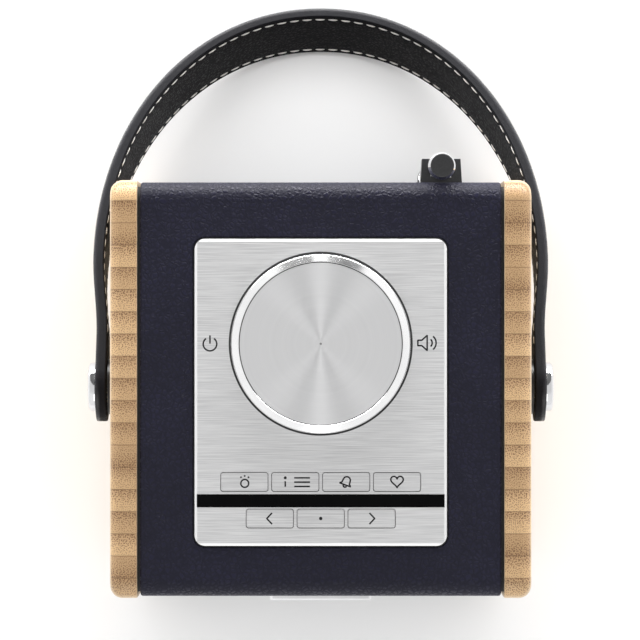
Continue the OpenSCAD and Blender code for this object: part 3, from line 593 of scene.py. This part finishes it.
def printed_mark(name, centre, top, strokes, body, dots=(), line=0.44):
    """Strokes are lists of points in mm round the centre; dots are (x, y, radius)."""
    data = bpy.data.curves.new(name, "CURVE")
    data.dimensions = "3D"
    data.bevel_depth = line / 2 * MM
    data.bevel_resolution = 1
    data.use_fill_caps = True
    for corners in strokes:
        spline = data.splines.new("POLY")
        closed = math.dist(corners[0], corners[-1]) < 1e-6
        points = full_width(corners)
        points = points[:-1] if closed else points
        spline.points.add(len(points) - 1)
        spline.use_cyclic_u = closed
        for p, (x, y) in zip(spline.points, points):
            p.co = (x * MM, y * MM, 0, 1)
    mark = bpy.data.objects.new(name, data)
    bpy.context.scene.collection.objects.link(mark)
    pick(mark)
    bpy.ops.object.convert(target="MESH")
    mark = bpy.context.object
    parts = [mark]
    for x, y, r in dots:
        bare_bench()
        bpy.ops.mesh.primitive_uv_sphere_add(segments=16, ring_count=6, radius=r * MM,
                                             location=(x * MM, y * MM, 0))
        parts.append(bpy.context.object)
        parts[-1].scale.z = line / 2 / r
        settle(parts[-1])
    join(parts)
    mark.scale.z = 0.22
    mark.location = (centre[0] * MM, centre[1] * MM, top * MM)
    settle(mark, name)
    bpy.ops.object.shade_smooth()
    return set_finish(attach(mark, body), "black_plastic")

# %% Marks on the plate and the keys
dial_y = dial_axis[1] / MM
printed_mark("mark_power", (-30.9, dial_y), plate_top,
    [arc(0, -0.1, 1.9, 126, 414), [(0, 0.0), (0, 2.3)]], "cabinet")
printed_mark("mark_loudness", (29.6, dial_y + 0.2), plate_top,
    [[(-2.5, -0.75), (-1.4, -0.75), (0.1, -2.1), (0.1, 2.1), (-1.4, 0.75), (-2.5, 0.75), (-2.5, -0.75)],
     arc(0.2, 0, 1.3, -50, 50), arc(0.2, 0, 2.4, -50, 50)], "cabinet")

heart = [(1.75 * math.sin(t) ** 3, 0.11 * (13 * math.cos(t) - 5 * math.cos(2 * t)
          - 2 * math.cos(3 * t) - math.cos(4 * t)) + 0.25) for t in [math.tau * i / 40 for i in range(41)]]
heart[-1] = heart[0]
bell = [(-1.6, -0.85), (-1.1, -0.35), (-1.0, 0.5)] + arc(0, 0.5, 1.0, 180, 0, 10)[1:] + [
        (1.1, -0.35), (1.6, -0.85), (-1.6, -0.85)]
key_marks = {
    "light": ([arc(0.1, -0.4, 1.1, 0, 360, 28)], [(-0.95, 1.3, 0.26), (0.1, 1.68, 0.26), (1.15, 1.3, 0.26)]),
    "menu": ([[(-2.8, 0.2), (-2.8, -1.35)], [(-0.3, 1.15), (4.1, 1.15)], [(-0.3, -0.05), (4.1, -0.05)],
              [(-0.3, -1.25), (4.1, -1.25)]], [(-2.8, 1.15, 0.42)]),
    "alarm": ([turned_by(bell, -20), turned_by(arc(0, -1.0, 0.5, 190, 350, 8), -20)], []),
    "favourite": ([heart], []),
    "previous": ([[(0.6, 1.55), (-0.85, 0), (0.6, -1.55)]], []),
    "select": ([arc(0, 0, 0.26, 0, 360, 16)], [(0, 0, 0.3)]),
    "next": ([[(-0.6, 1.55), (0.85, 0), (-0.6, -1.55)]], []),
}
for key, (strokes, dots) in key_marks.items():
    lo, hi = (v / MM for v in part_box("button_" + key))
    printed_mark("mark_" + key, ((lo.x + hi.x) / 2, (lo.y + hi.y) / 2), hi.z, strokes, key + "_key", dots)
print("marks", len(key_marks) + 2)

# %% [markdown]
# ## How finishes are built
# Each finish is a small tree of nodes round one Principled shader. Patterns read Object
# coordinates, so they are solid: they run through the piece and don't slide when it
# moves. Effects that several finishes share are node groups that put out only masks and
# heights, while each finish keeps its own colours and its own shader.

# %% Node helpers
def new_finish(name, **constants):
    """A material with one Principled shader; constants go straight on its sockets."""
    material = bpy.data.materials.new(name)
    material.use_nodes = True
    shader = material.node_tree.nodes["Principled BSDF"]
    for key, value in constants.items():
        shader.inputs[key.replace("_", " ")].default_value = value
    return material, material.node_tree, shader

def node(tree, kind, inputs=None, **settings):
    """Adds a node. An input that is a socket is linked, any other value is set."""
    made = tree.nodes.new("ShaderNode" + kind)
    for key, value in settings.items():
        setattr(made, key, value)
    for key, value in (inputs or {}).items():
        if isinstance(value, bpy.types.NodeSocket):
            tree.links.new(value, made.inputs[key])
        else:
            made.inputs[key].default_value = value
    return made

def place(tree, scale=(1, 1, 1), shift=(0, 0, 0)):
    """Object coordinates, moved and then stretched."""
    coords = node(tree, "TexCoord").outputs["Object"]
    return node(tree, "Mapping", {"Vector": coords, "Location": shift, "Scale": scale}).outputs[0]

def noise(tree, vector, scale, detail=3.0, rough=0.5):
    """A noise value from 0 to 1."""
    return node(tree, "TexNoise", {"Vector": vector, "Scale": scale, "Detail": detail,
                                   "Roughness": rough}).outputs["Fac"]

def math_of(tree, operation, a, b=0.0, clamp=False):
    return node(tree, "Math", {0: a, 1: b}, operation=operation, use_clamp=clamp).outputs[0]

def times(tree, a, b):
    return math_of(tree, "MULTIPLY", a, b)

def plus(tree, a, b):
    return math_of(tree, "ADD", a, b)

def minus(tree, a, b, clamp=False):
    return math_of(tree, "SUBTRACT", a, b, clamp)

def size_of(tree, a):
    return math_of(tree, "ABSOLUTE", a)

def scaled(tree, value, factor, offset):
    """A value times a factor, plus an offset."""
    return node(tree, "Math", {0: value, 1: factor, 2: offset}, operation="MULTIPLY_ADD").outputs[0]

def mixture(tree, a, b, share):
    """A share of a and the rest of b."""
    return plus(tree, times(tree, a, share), times(tree, b, 1 - share))

def parts_of(tree, vector):
    """The X, Y and Z of a vector."""
    return node(tree, "SeparateXYZ", {0: vector}).outputs

def vector_math(tree, operation, a, b):
    return node(tree, "VectorMath", {0: a, 1: b}, operation=operation).outputs[0]

def band(tree, value, low, high, to_low=0.0, to_high=1.0):
    """Smooth step of a value between two levels."""
    return node(tree, "MapRange", {"Value": value, "From Min": low, "From Max": high,
        "To Min": to_low, "To Max": to_high}, interpolation_type="SMOOTHSTEP").outputs["Result"]

def blend(tree, mask, a, b):
    """Colour a where the mask is 0 and b where it is 1."""
    made = node(tree, "Mix", {0: mask}, data_type="RGBA")
    for index, value in ((6, a), (7, b)):
        if isinstance(value, bpy.types.NodeSocket):
            tree.links.new(value, made.inputs[index])
        else:
            made.inputs[index].default_value = (*value, 1)
    return made.outputs[2]

def relief(tree, shader, height, depth):
    """Feeds a height through a Bump node to the shader's normal."""
    normal = node(tree, "Bump", {"Height": height, "Distance": depth, "Strength": 1.0}).outputs["Normal"]
    tree.links.new(normal, shader.inputs["Normal"])

def feed(tree, shader, **sources):
    """Links varying values to the shader's sockets."""
    for key, source in sources.items():
        tree.links.new(source, shader.inputs[key.replace("_", " ")])

def new_group(name, inputs, outputs):
    """An empty node group with float sockets: (group, its input node, its output node)."""
    group = bpy.data.node_groups.new(name, "ShaderNodeTree")
    for label, value in inputs.items():
        socket = group.interface.new_socket(name=label, in_out="INPUT", socket_type="NodeSocketFloat")
        socket.default_value = value
    for label in outputs:
        group.interface.new_socket(name=label, in_out="OUTPUT", socket_type="NodeSocketFloat")
    return group, group.nodes.new("NodeGroupInput"), group.nodes.new("NodeGroupOutput")

def use_group(tree, group, **values):
    """Puts a shared group in a tree and gives its outputs."""
    made = tree.nodes.new("ShaderNodeGroup")
    made.node_tree = group
    for key, value in values.items():
        made.inputs[key].default_value = value
    return made.outputs

# %% [markdown]
# ## The light of the room
# The room is a few nodes too. A direction with a high Z looks at the ceiling, and its
# bearing from +Y says how far it is from the middle of the rear wall. The room is pale
# all round and a little darker overhead, where flat metal looks. A dark drape hangs
# behind the rear strip and draws the grey wedges in the disc and its ring.

# %% Room
world = bpy.data.worlds.new("pale_room")
bpy.context.scene.world = world
world.use_nodes = True
room = world.node_tree
sideways, rearwards, upwards = parts_of(room, node(room, "TexCoord").outputs["Generated"])
from_rear = size_of(room, math_of(room, "ARCTAN2", sideways, rearwards))
drape_height = times(room, band(room, upwards, 0.15, 0.35), band(room, upwards, 0.975, 0.998, 1.0, 0.0))
drape = times(room, band(room, from_rear, 0.42, 0.58, 1.0, 0.0), drape_height)
pale = band(room, upwards, 0.75, 0.95, 1.02, 0.80)
level = times(room, pale, band(room, drape, 0.0, 1.0, 1.0, 0.2))
room.nodes["Background"].inputs["Color"].default_value = (1, 1, 1, 1)
room.links.new(level, room.nodes["Background"].inputs["Strength"])
print("room nodes", len(room.nodes))

# %% [markdown]
# ## Shared effects
# Four effects come back again and again. Pebble is the grain pressed into leather:
# rounded cells of uneven size with narrow valleys between them. Brushed is a fine streak
# along X. Speckle is the faint unevenness of moulded and plated surfaces. Rounded edge
# finds where a surface turns between two faces, from the direction it faces, and is used
# for wear and for paler rubbed edges.

# %% Shared groups
pebble, g_in, g_out = new_group("pebble_grain", {"Cell": 0.0011}, ("Height", "Valley", "Cloud"))
coords = place(pebble)
wobble = node(pebble, "TexNoise", {"Vector": coords, "Scale": 330.0, "Detail": 3.0}).outputs["Color"]
warped = vector_math(pebble, "ADD", coords, vector_math(pebble, "MULTIPLY", wobble, (0.0022,) * 3))
density = math_of(pebble, "DIVIDE", 1.0, g_in.outputs["Cell"])
cells = node(pebble, "TexVoronoi", {"Vector": warped, "Scale": density, "Randomness": 0.9},
             feature="DISTANCE_TO_EDGE").outputs["Distance"]
fold = size_of(pebble, minus(pebble, noise(pebble, warped, 300.0, 3.0), 0.5))
dome = times(pebble, band(pebble, cells, 0.0, 0.34), band(pebble, fold, 0.0, 0.05, 0.45, 1.0))
pores = noise(pebble, coords, 5200.0, 2.0)
pebble.links.new(plus(pebble, dome, times(pebble, pores, 0.25)), g_out.inputs["Height"])
pebble.links.new(minus(pebble, 1.0, dome), g_out.inputs["Valley"])
pebble.links.new(noise(pebble, coords, 45.0, 4.0, 0.6), g_out.inputs["Cloud"])

brushed, g_in, g_out = new_group("brushed_streak", {"Fineness": 1.0}, ("Streak", "Broad"))
streak_place = place(brushed, (75, 6400, 6400))
stretch = node(brushed, "VectorMath", {0: streak_place, "Scale": g_in.outputs["Fineness"]},
               operation="SCALE").outputs[0]
brushed.links.new(noise(brushed, stretch, 1.0, 3.0, 0.6), g_out.inputs["Streak"])
brushed.links.new(noise(brushed, place(brushed, (9, 420, 420)), 1.0, 3.0, 0.6), g_out.inputs["Broad"])

speckle, g_in, g_out = new_group("speckle", {"Size": 0.0006}, ("Fine", "Cloud"))
coords = place(speckle)
rate = math_of(speckle, "DIVIDE", 1.0, g_in.outputs["Size"])
fine = node(speckle, "TexNoise", {"Vector": coords, "Scale": rate, "Detail": 3.0}).outputs["Fac"]
speckle.links.new(fine, g_out.inputs["Fine"])
speckle.links.new(noise(speckle, coords, 60.0, 4.0, 0.6), g_out.inputs["Cloud"])

edge_mask, g_in, g_out = new_group("rounded_edge", {"Start": 0.02, "Full": 0.2}, ("Mask",))
parts = parts_of(edge_mask, node(edge_mask, "TexCoord").outputs["Normal"])
sizes = [size_of(edge_mask, parts[i]) for i in range(3)]
largest = math_of(edge_mask, "MAXIMUM", math_of(edge_mask, "MAXIMUM", sizes[0], sizes[1]), sizes[2])
turned_away = minus(edge_mask, 1.0, largest)
mask = band(edge_mask, turned_away, g_in.outputs["Start"], g_in.outputs["Full"])
edge_mask.links.new(mask, g_out.inputs["Mask"])
print("groups", [g.name for g in bpy.data.node_groups])

# %% [markdown]
# ## Leathers
# The body is wrapped in a dark navy hide with a pressed pebble grain. The valleys of the
# grain are painted darker, as painted shade, and the tops are a little rubbed on the rounded
# edges. The strap's outer leather is smoother, charcoal, with fine creases; its cut edge is
# glossy near the outside and painted darker towards the lining, as painted shade. The
# lining is nearly black.

# %% Leather finishes
def leather_finish(name, low, high, rubbed, cell, depth, roughness, edge, gloss, dust=0.0, painted=None):
    """Grained leather. painted is a darker edge colour that takes over towards the lining, as painted shade.
    """
    material, tree, shader = new_finish(name, Specular_IOR_Level=gloss, Sheen_Weight=dust,
                                        Sheen_Roughness=0.35, Sheen_Tint=(0.75, 0.75, 0.92, 1))
    grain = use_group(tree, pebble, Cell=cell)
    worn = use_group(tree, edge_mask, Start=edge[0], Full=edge[1])["Mask"]
    patch = band(tree, grain["Cloud"], 0.35, 0.7)
    tone = blend(tree, patch, low, high)
    # The grain's valleys are painted darker: painted shade in the hollows.
    valley_shade_tone = tuple(c * 0.35 for c in low)
    tone = blend(tree, times(tree, grain["Valley"], 0.55), tone, valley_shade_tone)
    rub = times(tree, worn, minus(tree, 1.0, grain["Valley"], True))
    tone = blend(tree, times(tree, rub, 0.5), tone, rubbed)
    if painted:
        # The cut edge is painted darker towards the lining: painted shade standing in for the shade on its
        # rounded edge.
        inward = node(tree, "Attribute", attribute_name="flat_depth").outputs["Fac"]
        tone = blend(tree, band(tree, inward, 0.25, 0.7), tone, painted)
        feed(tree, shader, Coat_Weight=band(tree, inward, 0.1, 0.6, 0.8, 0.0))
        shader.inputs["Coat Roughness"].default_value = 0.24
    dullness = plus(tree, grain["Valley"], times(tree, patch, 0.3))
    feed(tree, shader, Base_Color=tone, Roughness=band(tree, dullness, 0.0, 1.3, roughness, roughness + 0.2))
    relief(tree, shader, grain["Height"], depth)
    return material

finishes = {
    "navy_leather": leather_finish("navy_leather", (0.0066, 0.0062, 0.0200), (0.0098, 0.0094, 0.0275),
        (0.022, 0.021, 0.034), 0.0014, 0.00012, 0.38, (0.03, 0.25), gloss=0.24, dust=0.12),
    "strap_leather": leather_finish("strap_leather", (0.0055, 0.0052, 0.0090), (0.0090, 0.0085, 0.0135),
        (0.018, 0.017, 0.025), 0.0006, 0.000018, 0.46, (0.03, 0.25), gloss=0.14,
        painted=(0.004, 0.004, 0.006)),
    "strap_lining": leather_finish("strap_lining", (0.0018, 0.0016, 0.0028), (0.0036, 0.0032, 0.0048),
        (0.02, 0.018, 0.02), 0.0011, 0.00007, 0.44, (0.05, 0.3), gloss=0.12),
}
print("leathers", list(finishes))

# %% [markdown]
# ## Bamboo
# Bamboo has no rings. A cut across the stalk shows dark fibre bundles as dots in pale
# pith, and the same bundles run up the sides as streaks. So one flat pattern of dots in
# X and Y, stretched endlessly along Z, gives both the speckled end grain on top and the
# streaks on the sides. Each glued strip gets its own tone from its number along Y, a fine
# dark glue line, and now and then a node, the ring where the stalk had a leaf.

# %% Bamboo finish
material, tree, shader = new_finish("bamboo", Specular_IOR_Level=0.45, Coat_Weight=0.12, Coat_Roughness=0.25)
coords = place(tree)
axes = parts_of(tree, coords)
strip_width, strip_shift = 0.0062, 0.2015
drift = node(tree, "TexNoise", {"Vector": place(tree, (60, 60, 9)), "Scale": 1.0, "Detail": 2.0})
drifted = vector_math(tree, "MULTIPLY", drift.outputs["Color"], (0.0009, 0.0009, 0.0))
fibre_place = vector_math(tree, "ADD", coords, drifted)
strip_at = math_of(tree, "DIVIDE", plus(tree, axes[1], strip_shift), strip_width)
strip_number = math_of(tree, "FLOOR", strip_at)
side_of = times(tree, math_of(tree, "SIGN", axes[0]), 37.0)
strip_random = node(tree, "TexWhiteNoise", {"W": plus(tree, strip_number, side_of)},
                    noise_dimensions="1D").outputs
within = math_of(tree, "FRACT", strip_at)
from_joint = math_of(tree, "MINIMUM", within, minus(tree, 1.0, within))
joint = band(tree, from_joint, 0.0, 0.035, 1.0, 0.0)
bundle_gap = node(tree, "TexVoronoi", {"Vector": fibre_place, "Scale": 1950.0, "Randomness": 0.8},
                  voronoi_dimensions="2D", feature="F1").outputs["Distance"]
flipped = math_of(tree, "GREATER_THAN", strip_random["Value"], 0.86)
density_up = size_of(tree, minus(tree, flipped, within))
bundle_size = scaled(tree, density_up, 0.24, 0.22)
pith = band(tree, bundle_gap, times(tree, bundle_size, 0.5), bundle_size)
bundle = minus(tree, 1.0, pith)
streak = noise(tree, place(tree, (2600, 2600, 16)), 1.0, 4.0, 0.6)
facing = node(tree, "TexCoord").outputs["Normal"]
upward = band(tree, size_of(tree, parts_of(tree, facing)[2]), 0.25, 0.6)
along_grain = minus(tree, 1.0, upward)
node_z = scaled(tree, strip_random["Value"], 0.26, -0.08)
ring = band(tree, size_of(tree, minus(tree, axes[2], node_z)), 0.0004, 0.0016, 1.0, 0.0)
ring = times(tree, ring, along_grain)
tone = blend(tree, strip_random["Value"], (0.68, 0.455, 0.24), (0.44, 0.28, 0.14))
tone = blend(tree, times(tree, streak, 0.4), tone, (0.33, 0.19, 0.085))
dense = band(tree, density_up, 0.35, 1.0)
tone = blend(tree, times(tree, dense, 0.45), tone, (0.27, 0.15, 0.065))
on_end = scaled(tree, upward, 0.6, 0.3)
tone = blend(tree, times(tree, bundle, on_end), tone, (0.11, 0.042, 0.012))
tone = blend(tree, times(tree, joint, 0.8), tone, (0.16, 0.08, 0.03))
tone = blend(tree, times(tree, ring, 0.55), tone, (0.30, 0.17, 0.08))
# Faces that turn away from the top are painted paler cream: partly the side grain's own tone, partly a
# painted highlight on the rounded edges.
tone = blend(tree, times(tree, along_grain, 0.45), tone, (0.80, 0.66, 0.46))
feed(tree, shader, Base_Color=tone, Roughness=band(tree, streak, 0.3, 0.7, 0.34, 0.5))
height = minus(tree, times(tree, streak, 0.3), plus(tree, times(tree, bundle, 0.5), joint))
relief(tree, shader, plus(tree, height, times(tree, ring, 1.5)), 0.00004)
finishes["bamboo"] = material
print("bamboo nodes", len(tree.nodes))

# %% [markdown]
# ## Metals
# The plate, the keys and the grille are aluminium brushed along X: fine streaks change
# both its roughness and, a little, its tone, and its cut edges are brighter. The walls
# of the key pockets and the keys' own sides near the plate are painted dark, as painted
# shade, so that the keys are outlined. The dial's ring is polished, and the disc in it
# is spun, so its grooves are circles round its own middle.
# Plated parts are smooth, with the faint clouding that handling leaves.

# %% Brushed, spun and plated finishes
def metal(name, dark, light, low_rough, high_rough, size=0.0008, depth=0.0):
    """Plated or turned metal with a faintly uneven surface."""
    material, tree, shader = new_finish(name, Metallic=1.0)
    uneven = use_group(tree, speckle, Size=size)
    both = mixture(tree, uneven["Cloud"], uneven["Fine"], 0.6)
    feed(tree, shader, Base_Color=blend(tree, band(tree, uneven["Cloud"], 0.3, 0.7), dark, light),
         Roughness=band(tree, both, 0.3, 0.7, low_rough, high_rough))
    if depth:
        relief(tree, shader, uneven["Fine"], depth)
    return material

material, tree, shader = new_finish("brushed_aluminium", Metallic=1.0, Anisotropic=0.65)
lines = use_group(tree, brushed, Fineness=1.0)
cut_edge = use_group(tree, edge_mask, Start=0.03, Full=0.1)["Mask"]
facing = node(tree, "TexCoord").outputs["Normal"]
mixed = mixture(tree, lines["Streak"], lines["Broad"], 0.93)
tone = blend(tree, band(tree, mixed, 0.3, 0.7), (0.58, 0.58, 0.585), (0.80, 0.80, 0.80))
tone = blend(tree, cut_edge, tone, (0.74, 0.74, 0.74))
# The side walls of the key pockets and of the keys, near the plate, are painted dark: painted shade that
# outlines the keys.
shaded_wall = band(tree, size_of(tree, parts_of(tree, facing)[2]), 0.1, 0.35, 1.0, 0.0)
near_plate = band(tree, parts_of(tree, place(tree))[2], 0.103, 0.106)
tone = blend(tree, times(tree, shaded_wall, near_plate), tone, (0.06, 0.06, 0.06))
feed(tree, shader, Base_Color=tone, Roughness=band(tree, mixed, 0.3, 0.7, 0.40, 0.48),
     Tangent=vector_math(tree, "CROSS_PRODUCT", facing, (1, 0, 0)))
relief(tree, shader, lines["Streak"], 0.0000035)
finishes["brushed_aluminium"] = material

material, tree, shader = new_finish("spun_aluminium", Metallic=1.0, Anisotropic=0.95,
                                    Anisotropic_Rotation=0.25)
away = parts_of(tree, place(tree, shift=(-dial_axis[0], -dial_axis[1], 0)))
radius = math_of(tree, "SQRT", plus(tree, times(tree, away[0], away[0]), times(tree, away[1], away[1])))

def circles(rate, detail, rough):
    """Noise that changes only with the distance from the dial's middle."""
    along = node(tree, "CombineXYZ", {0: times(tree, radius, rate)}).outputs[0]
    return noise(tree, along, 1.0, detail, rough)

groove = circles(6500.0, 3.0, 0.65)
broad = circles(800.0, 2.0, 0.5)
tone = blend(tree, mixture(tree, groove, broad, 0.5), (0.66, 0.66, 0.665), (0.80, 0.80, 0.805))
# The centre dimple is painted dark, as painted shade in the pit.
centre_pit_shade = band(tree, radius, 0.00022, 0.0004, 1.0, 0.0)
tone = blend(tree, times(tree, centre_pit_shade, 0.75), tone, (0.1, 0.1, 0.1))
feed(tree, shader, Base_Color=tone, Roughness=band(tree, groove, 0.3, 0.7, 0.30, 0.38),
     Tangent=node(tree, "Tangent", direction_type="RADIAL", axis="Z").outputs[0])
relief(tree, shader, groove, 0.000003)
finishes["spun_aluminium"] = material

# name: dark, light, least and most roughness, then size and depth of the unevenness in metres
METALS = {
    "turned_aluminium": ((0.84, 0.84, 0.845), (0.92, 0.92, 0.92), 0.12, 0.2),
    "chrome": ((0.70, 0.70, 0.71), (0.80, 0.80, 0.81), 0.05, 0.12),
    "steel": ((0.42, 0.42, 0.43), (0.58, 0.58, 0.59), 0.28, 0.42, 0.0005, 0.00001),
    "brass": ((0.62, 0.44, 0.18), (0.78, 0.60, 0.28), 0.2, 0.34),
    "copper_coil": ((0.55, 0.24, 0.10), (0.72, 0.38, 0.18), 0.3, 0.42, 0.0002, 0.00002),
}
for name, values in METALS.items():
    finishes[name] = metal(name, *values)
print("metals", list(METALS))

# %% [markdown]
# ## Plastics, rubber and the rest
# Everything else is moulded, printed or pressed. Each gets the unevenness it really has:
# spark texture on black mouldings, dust-grey clouding on rubber, copper traces under
# green solder mask, pulp on the cone and threads in the cloth.

# %% Moulded and soft finishes
def moulding(name, dark, light, low_rough, high_rough, size, depth, **constants):
    """Any material that is mostly plain, with speckled colour, gloss and relief."""
    material, tree, shader = new_finish(name, **constants)
    uneven = use_group(tree, speckle, Size=size)
    patch = mixture(tree, uneven["Cloud"], uneven["Fine"], 0.5)
    feed(tree, shader, Base_Color=blend(tree, band(tree, patch, 0.35, 0.65), dark, light),
         Roughness=band(tree, patch, 0.3, 0.7, low_rough, high_rough))
    relief(tree, shader, uneven["Fine"], depth)
    return material

def woven(name, dark, light, pitch, roughness):
    """Plain weave: two sets of threads that pass over and under each other."""
    material, tree, shader = new_finish(name, Sheen_Weight=0.2)
    axes = parts_of(tree, place(tree, (math.pi / pitch,) * 3))
    thread = times(tree, math_of(tree, "SINE", axes[0]), math_of(tree, "SINE", axes[2]))
    level = band(tree, plus(tree, thread, noise(tree, place(tree), 3000.0)), 0.0, 1.3)
    feed(tree, shader, Base_Color=blend(tree, level, dark, light),
         Roughness=band(tree, level, 0.0, 1.0, roughness, roughness + 0.1))
    relief(tree, shader, level, 0.00008)
    return material

def board_finish(name):
    """Green solder mask over a grid of copper traces."""
    material, tree, shader = new_finish(name, Coat_Weight=0.3)
    traces = node(tree, "TexBrick", {"Vector": place(tree), "Scale": 160.0, "Mortar Size": 0.03,
        "Color1": (0.012, 0.11, 0.035, 1), "Color2": (0.02, 0.16, 0.05, 1), "Mortar": (0.05, 0.26, 0.09, 1)})
    uneven = use_group(tree, speckle, Size=0.0005)
    cloud = band(tree, uneven["Cloud"], 0.3, 0.7)
    feed(tree, shader, Base_Color=blend(tree, cloud, traces.outputs["Color"], (0.01, 0.09, 0.03)),
         Roughness=band(tree, uneven["Fine"], 0.3, 0.7, 0.28, 0.4))
    relief(tree, shader, traces.outputs["Fac"], 0.00002)
    return material

# name: dark, light, least and most roughness, size and depth of the speckle in metres
MOULDINGS = {
    "black_plastic": ((0.012, 0.012, 0.013), (0.022, 0.022, 0.024), 0.28, 0.42, 0.0004, 0.00001),
    "frame_plastic": ((0.04, 0.04, 0.043), (0.06, 0.06, 0.064), 0.5, 0.65, 0.0005, 0.00003),
    "black_rubber": ((0.012, 0.012, 0.012), (0.03, 0.03, 0.031), 0.65, 0.85, 0.0005, 0.00004),
    "display_glass": ((0.001, 0.001, 0.0012), (0.0018, 0.0018, 0.002), 0.05, 0.12, 0.004, 0.000002),
    "display_parts": ((0.04, 0.06, 0.045), (0.07, 0.09, 0.07), 0.4, 0.6, 0.0008, 0.00002),
    "white_nylon": ((0.66, 0.64, 0.58), (0.80, 0.78, 0.73), 0.42, 0.6, 0.0005, 0.00002),
    "battery_wrap": ((0.02, 0.06, 0.26), (0.04, 0.10, 0.36), 0.25, 0.4, 0.002, 0.00003),
    "ferrite": ((0.04, 0.04, 0.043), (0.09, 0.09, 0.095), 0.6, 0.8, 0.0006, 0.00005),
    "paper_cone": ((0.015, 0.015, 0.015), (0.04, 0.04, 0.04), 0.75, 0.9, 0.0004, 0.00006),
    "surround_rubber": ((0.015, 0.015, 0.015), (0.03, 0.03, 0.03), 0.45, 0.6, 0.0008, 0.00002),
    "lead_insulation": ((0.16, 0.03, 0.025), (0.26, 0.06, 0.05), 0.35, 0.5, 0.001, 0.00001),
    "printed_ink": ((0.008, 0.008, 0.009), (0.02, 0.02, 0.021), 0.5, 0.7, 0.0003, 0.000004),
    "stitch_thread": ((0.72, 0.70, 0.66), (0.88, 0.86, 0.81), 0.6, 0.8, 0.00025, 0.00004),
}
FIXED = {
    "display_glass": {"Specular_IOR_Level": 0.05},
    "printed_ink": {"Specular_IOR_Level": 0.15},
    "stitch_thread": {"Sheen_Weight": 0.3},
}
for name, values in MOULDINGS.items():
    finishes[name] = moulding(name, *values, **FIXED.get(name, {}))
finishes["spider_cloth"] = woven("spider_cloth", (0.35, 0.2, 0.06), (0.62, 0.42, 0.16), 0.0007, 0.7)
finishes["grille_cloth"] = woven("grille_cloth", (0.008, 0.008, 0.009), (0.035, 0.035, 0.037), 0.0006, 0.75)
finishes["circuit_board"] = board_finish("circuit_board")
print("finishes", len(finishes))

# %% [markdown]
# ## Dress every piece
# The record names a finish for every node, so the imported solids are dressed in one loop,
# and the new pieces by the finish they stand for. The floor gets a plain pale paper.

# %% Give out the finishes
def dress(piece, finish):
    """Gives a piece one finish."""
    piece.data.materials.clear()
    piece.data.materials.append(finishes[finish])

for name, solid in frame["nodes"].items():
    dress(solid, slot_of[name])
for piece in [leather, cloth, right_board, left_board, strap, lining, dial, disc, seat_and_gap_shade, shadow_ring, plug, *bolts]:
    dress(piece, piece["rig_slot"])
dress(stitches, "stitch_thread")
for piece in bpy.data.objects:
    if piece.name.startswith("mark_"):
        dress(piece, "printed_ink")

paper, tree, shader = new_finish("pale_floor", Base_Color=(0.93, 0.93, 0.93, 1), Roughness=0.9,
                                 Specular_IOR_Level=0.1)
floor.data.materials.append(paper)
print("dressed", len(frame["nodes"]))
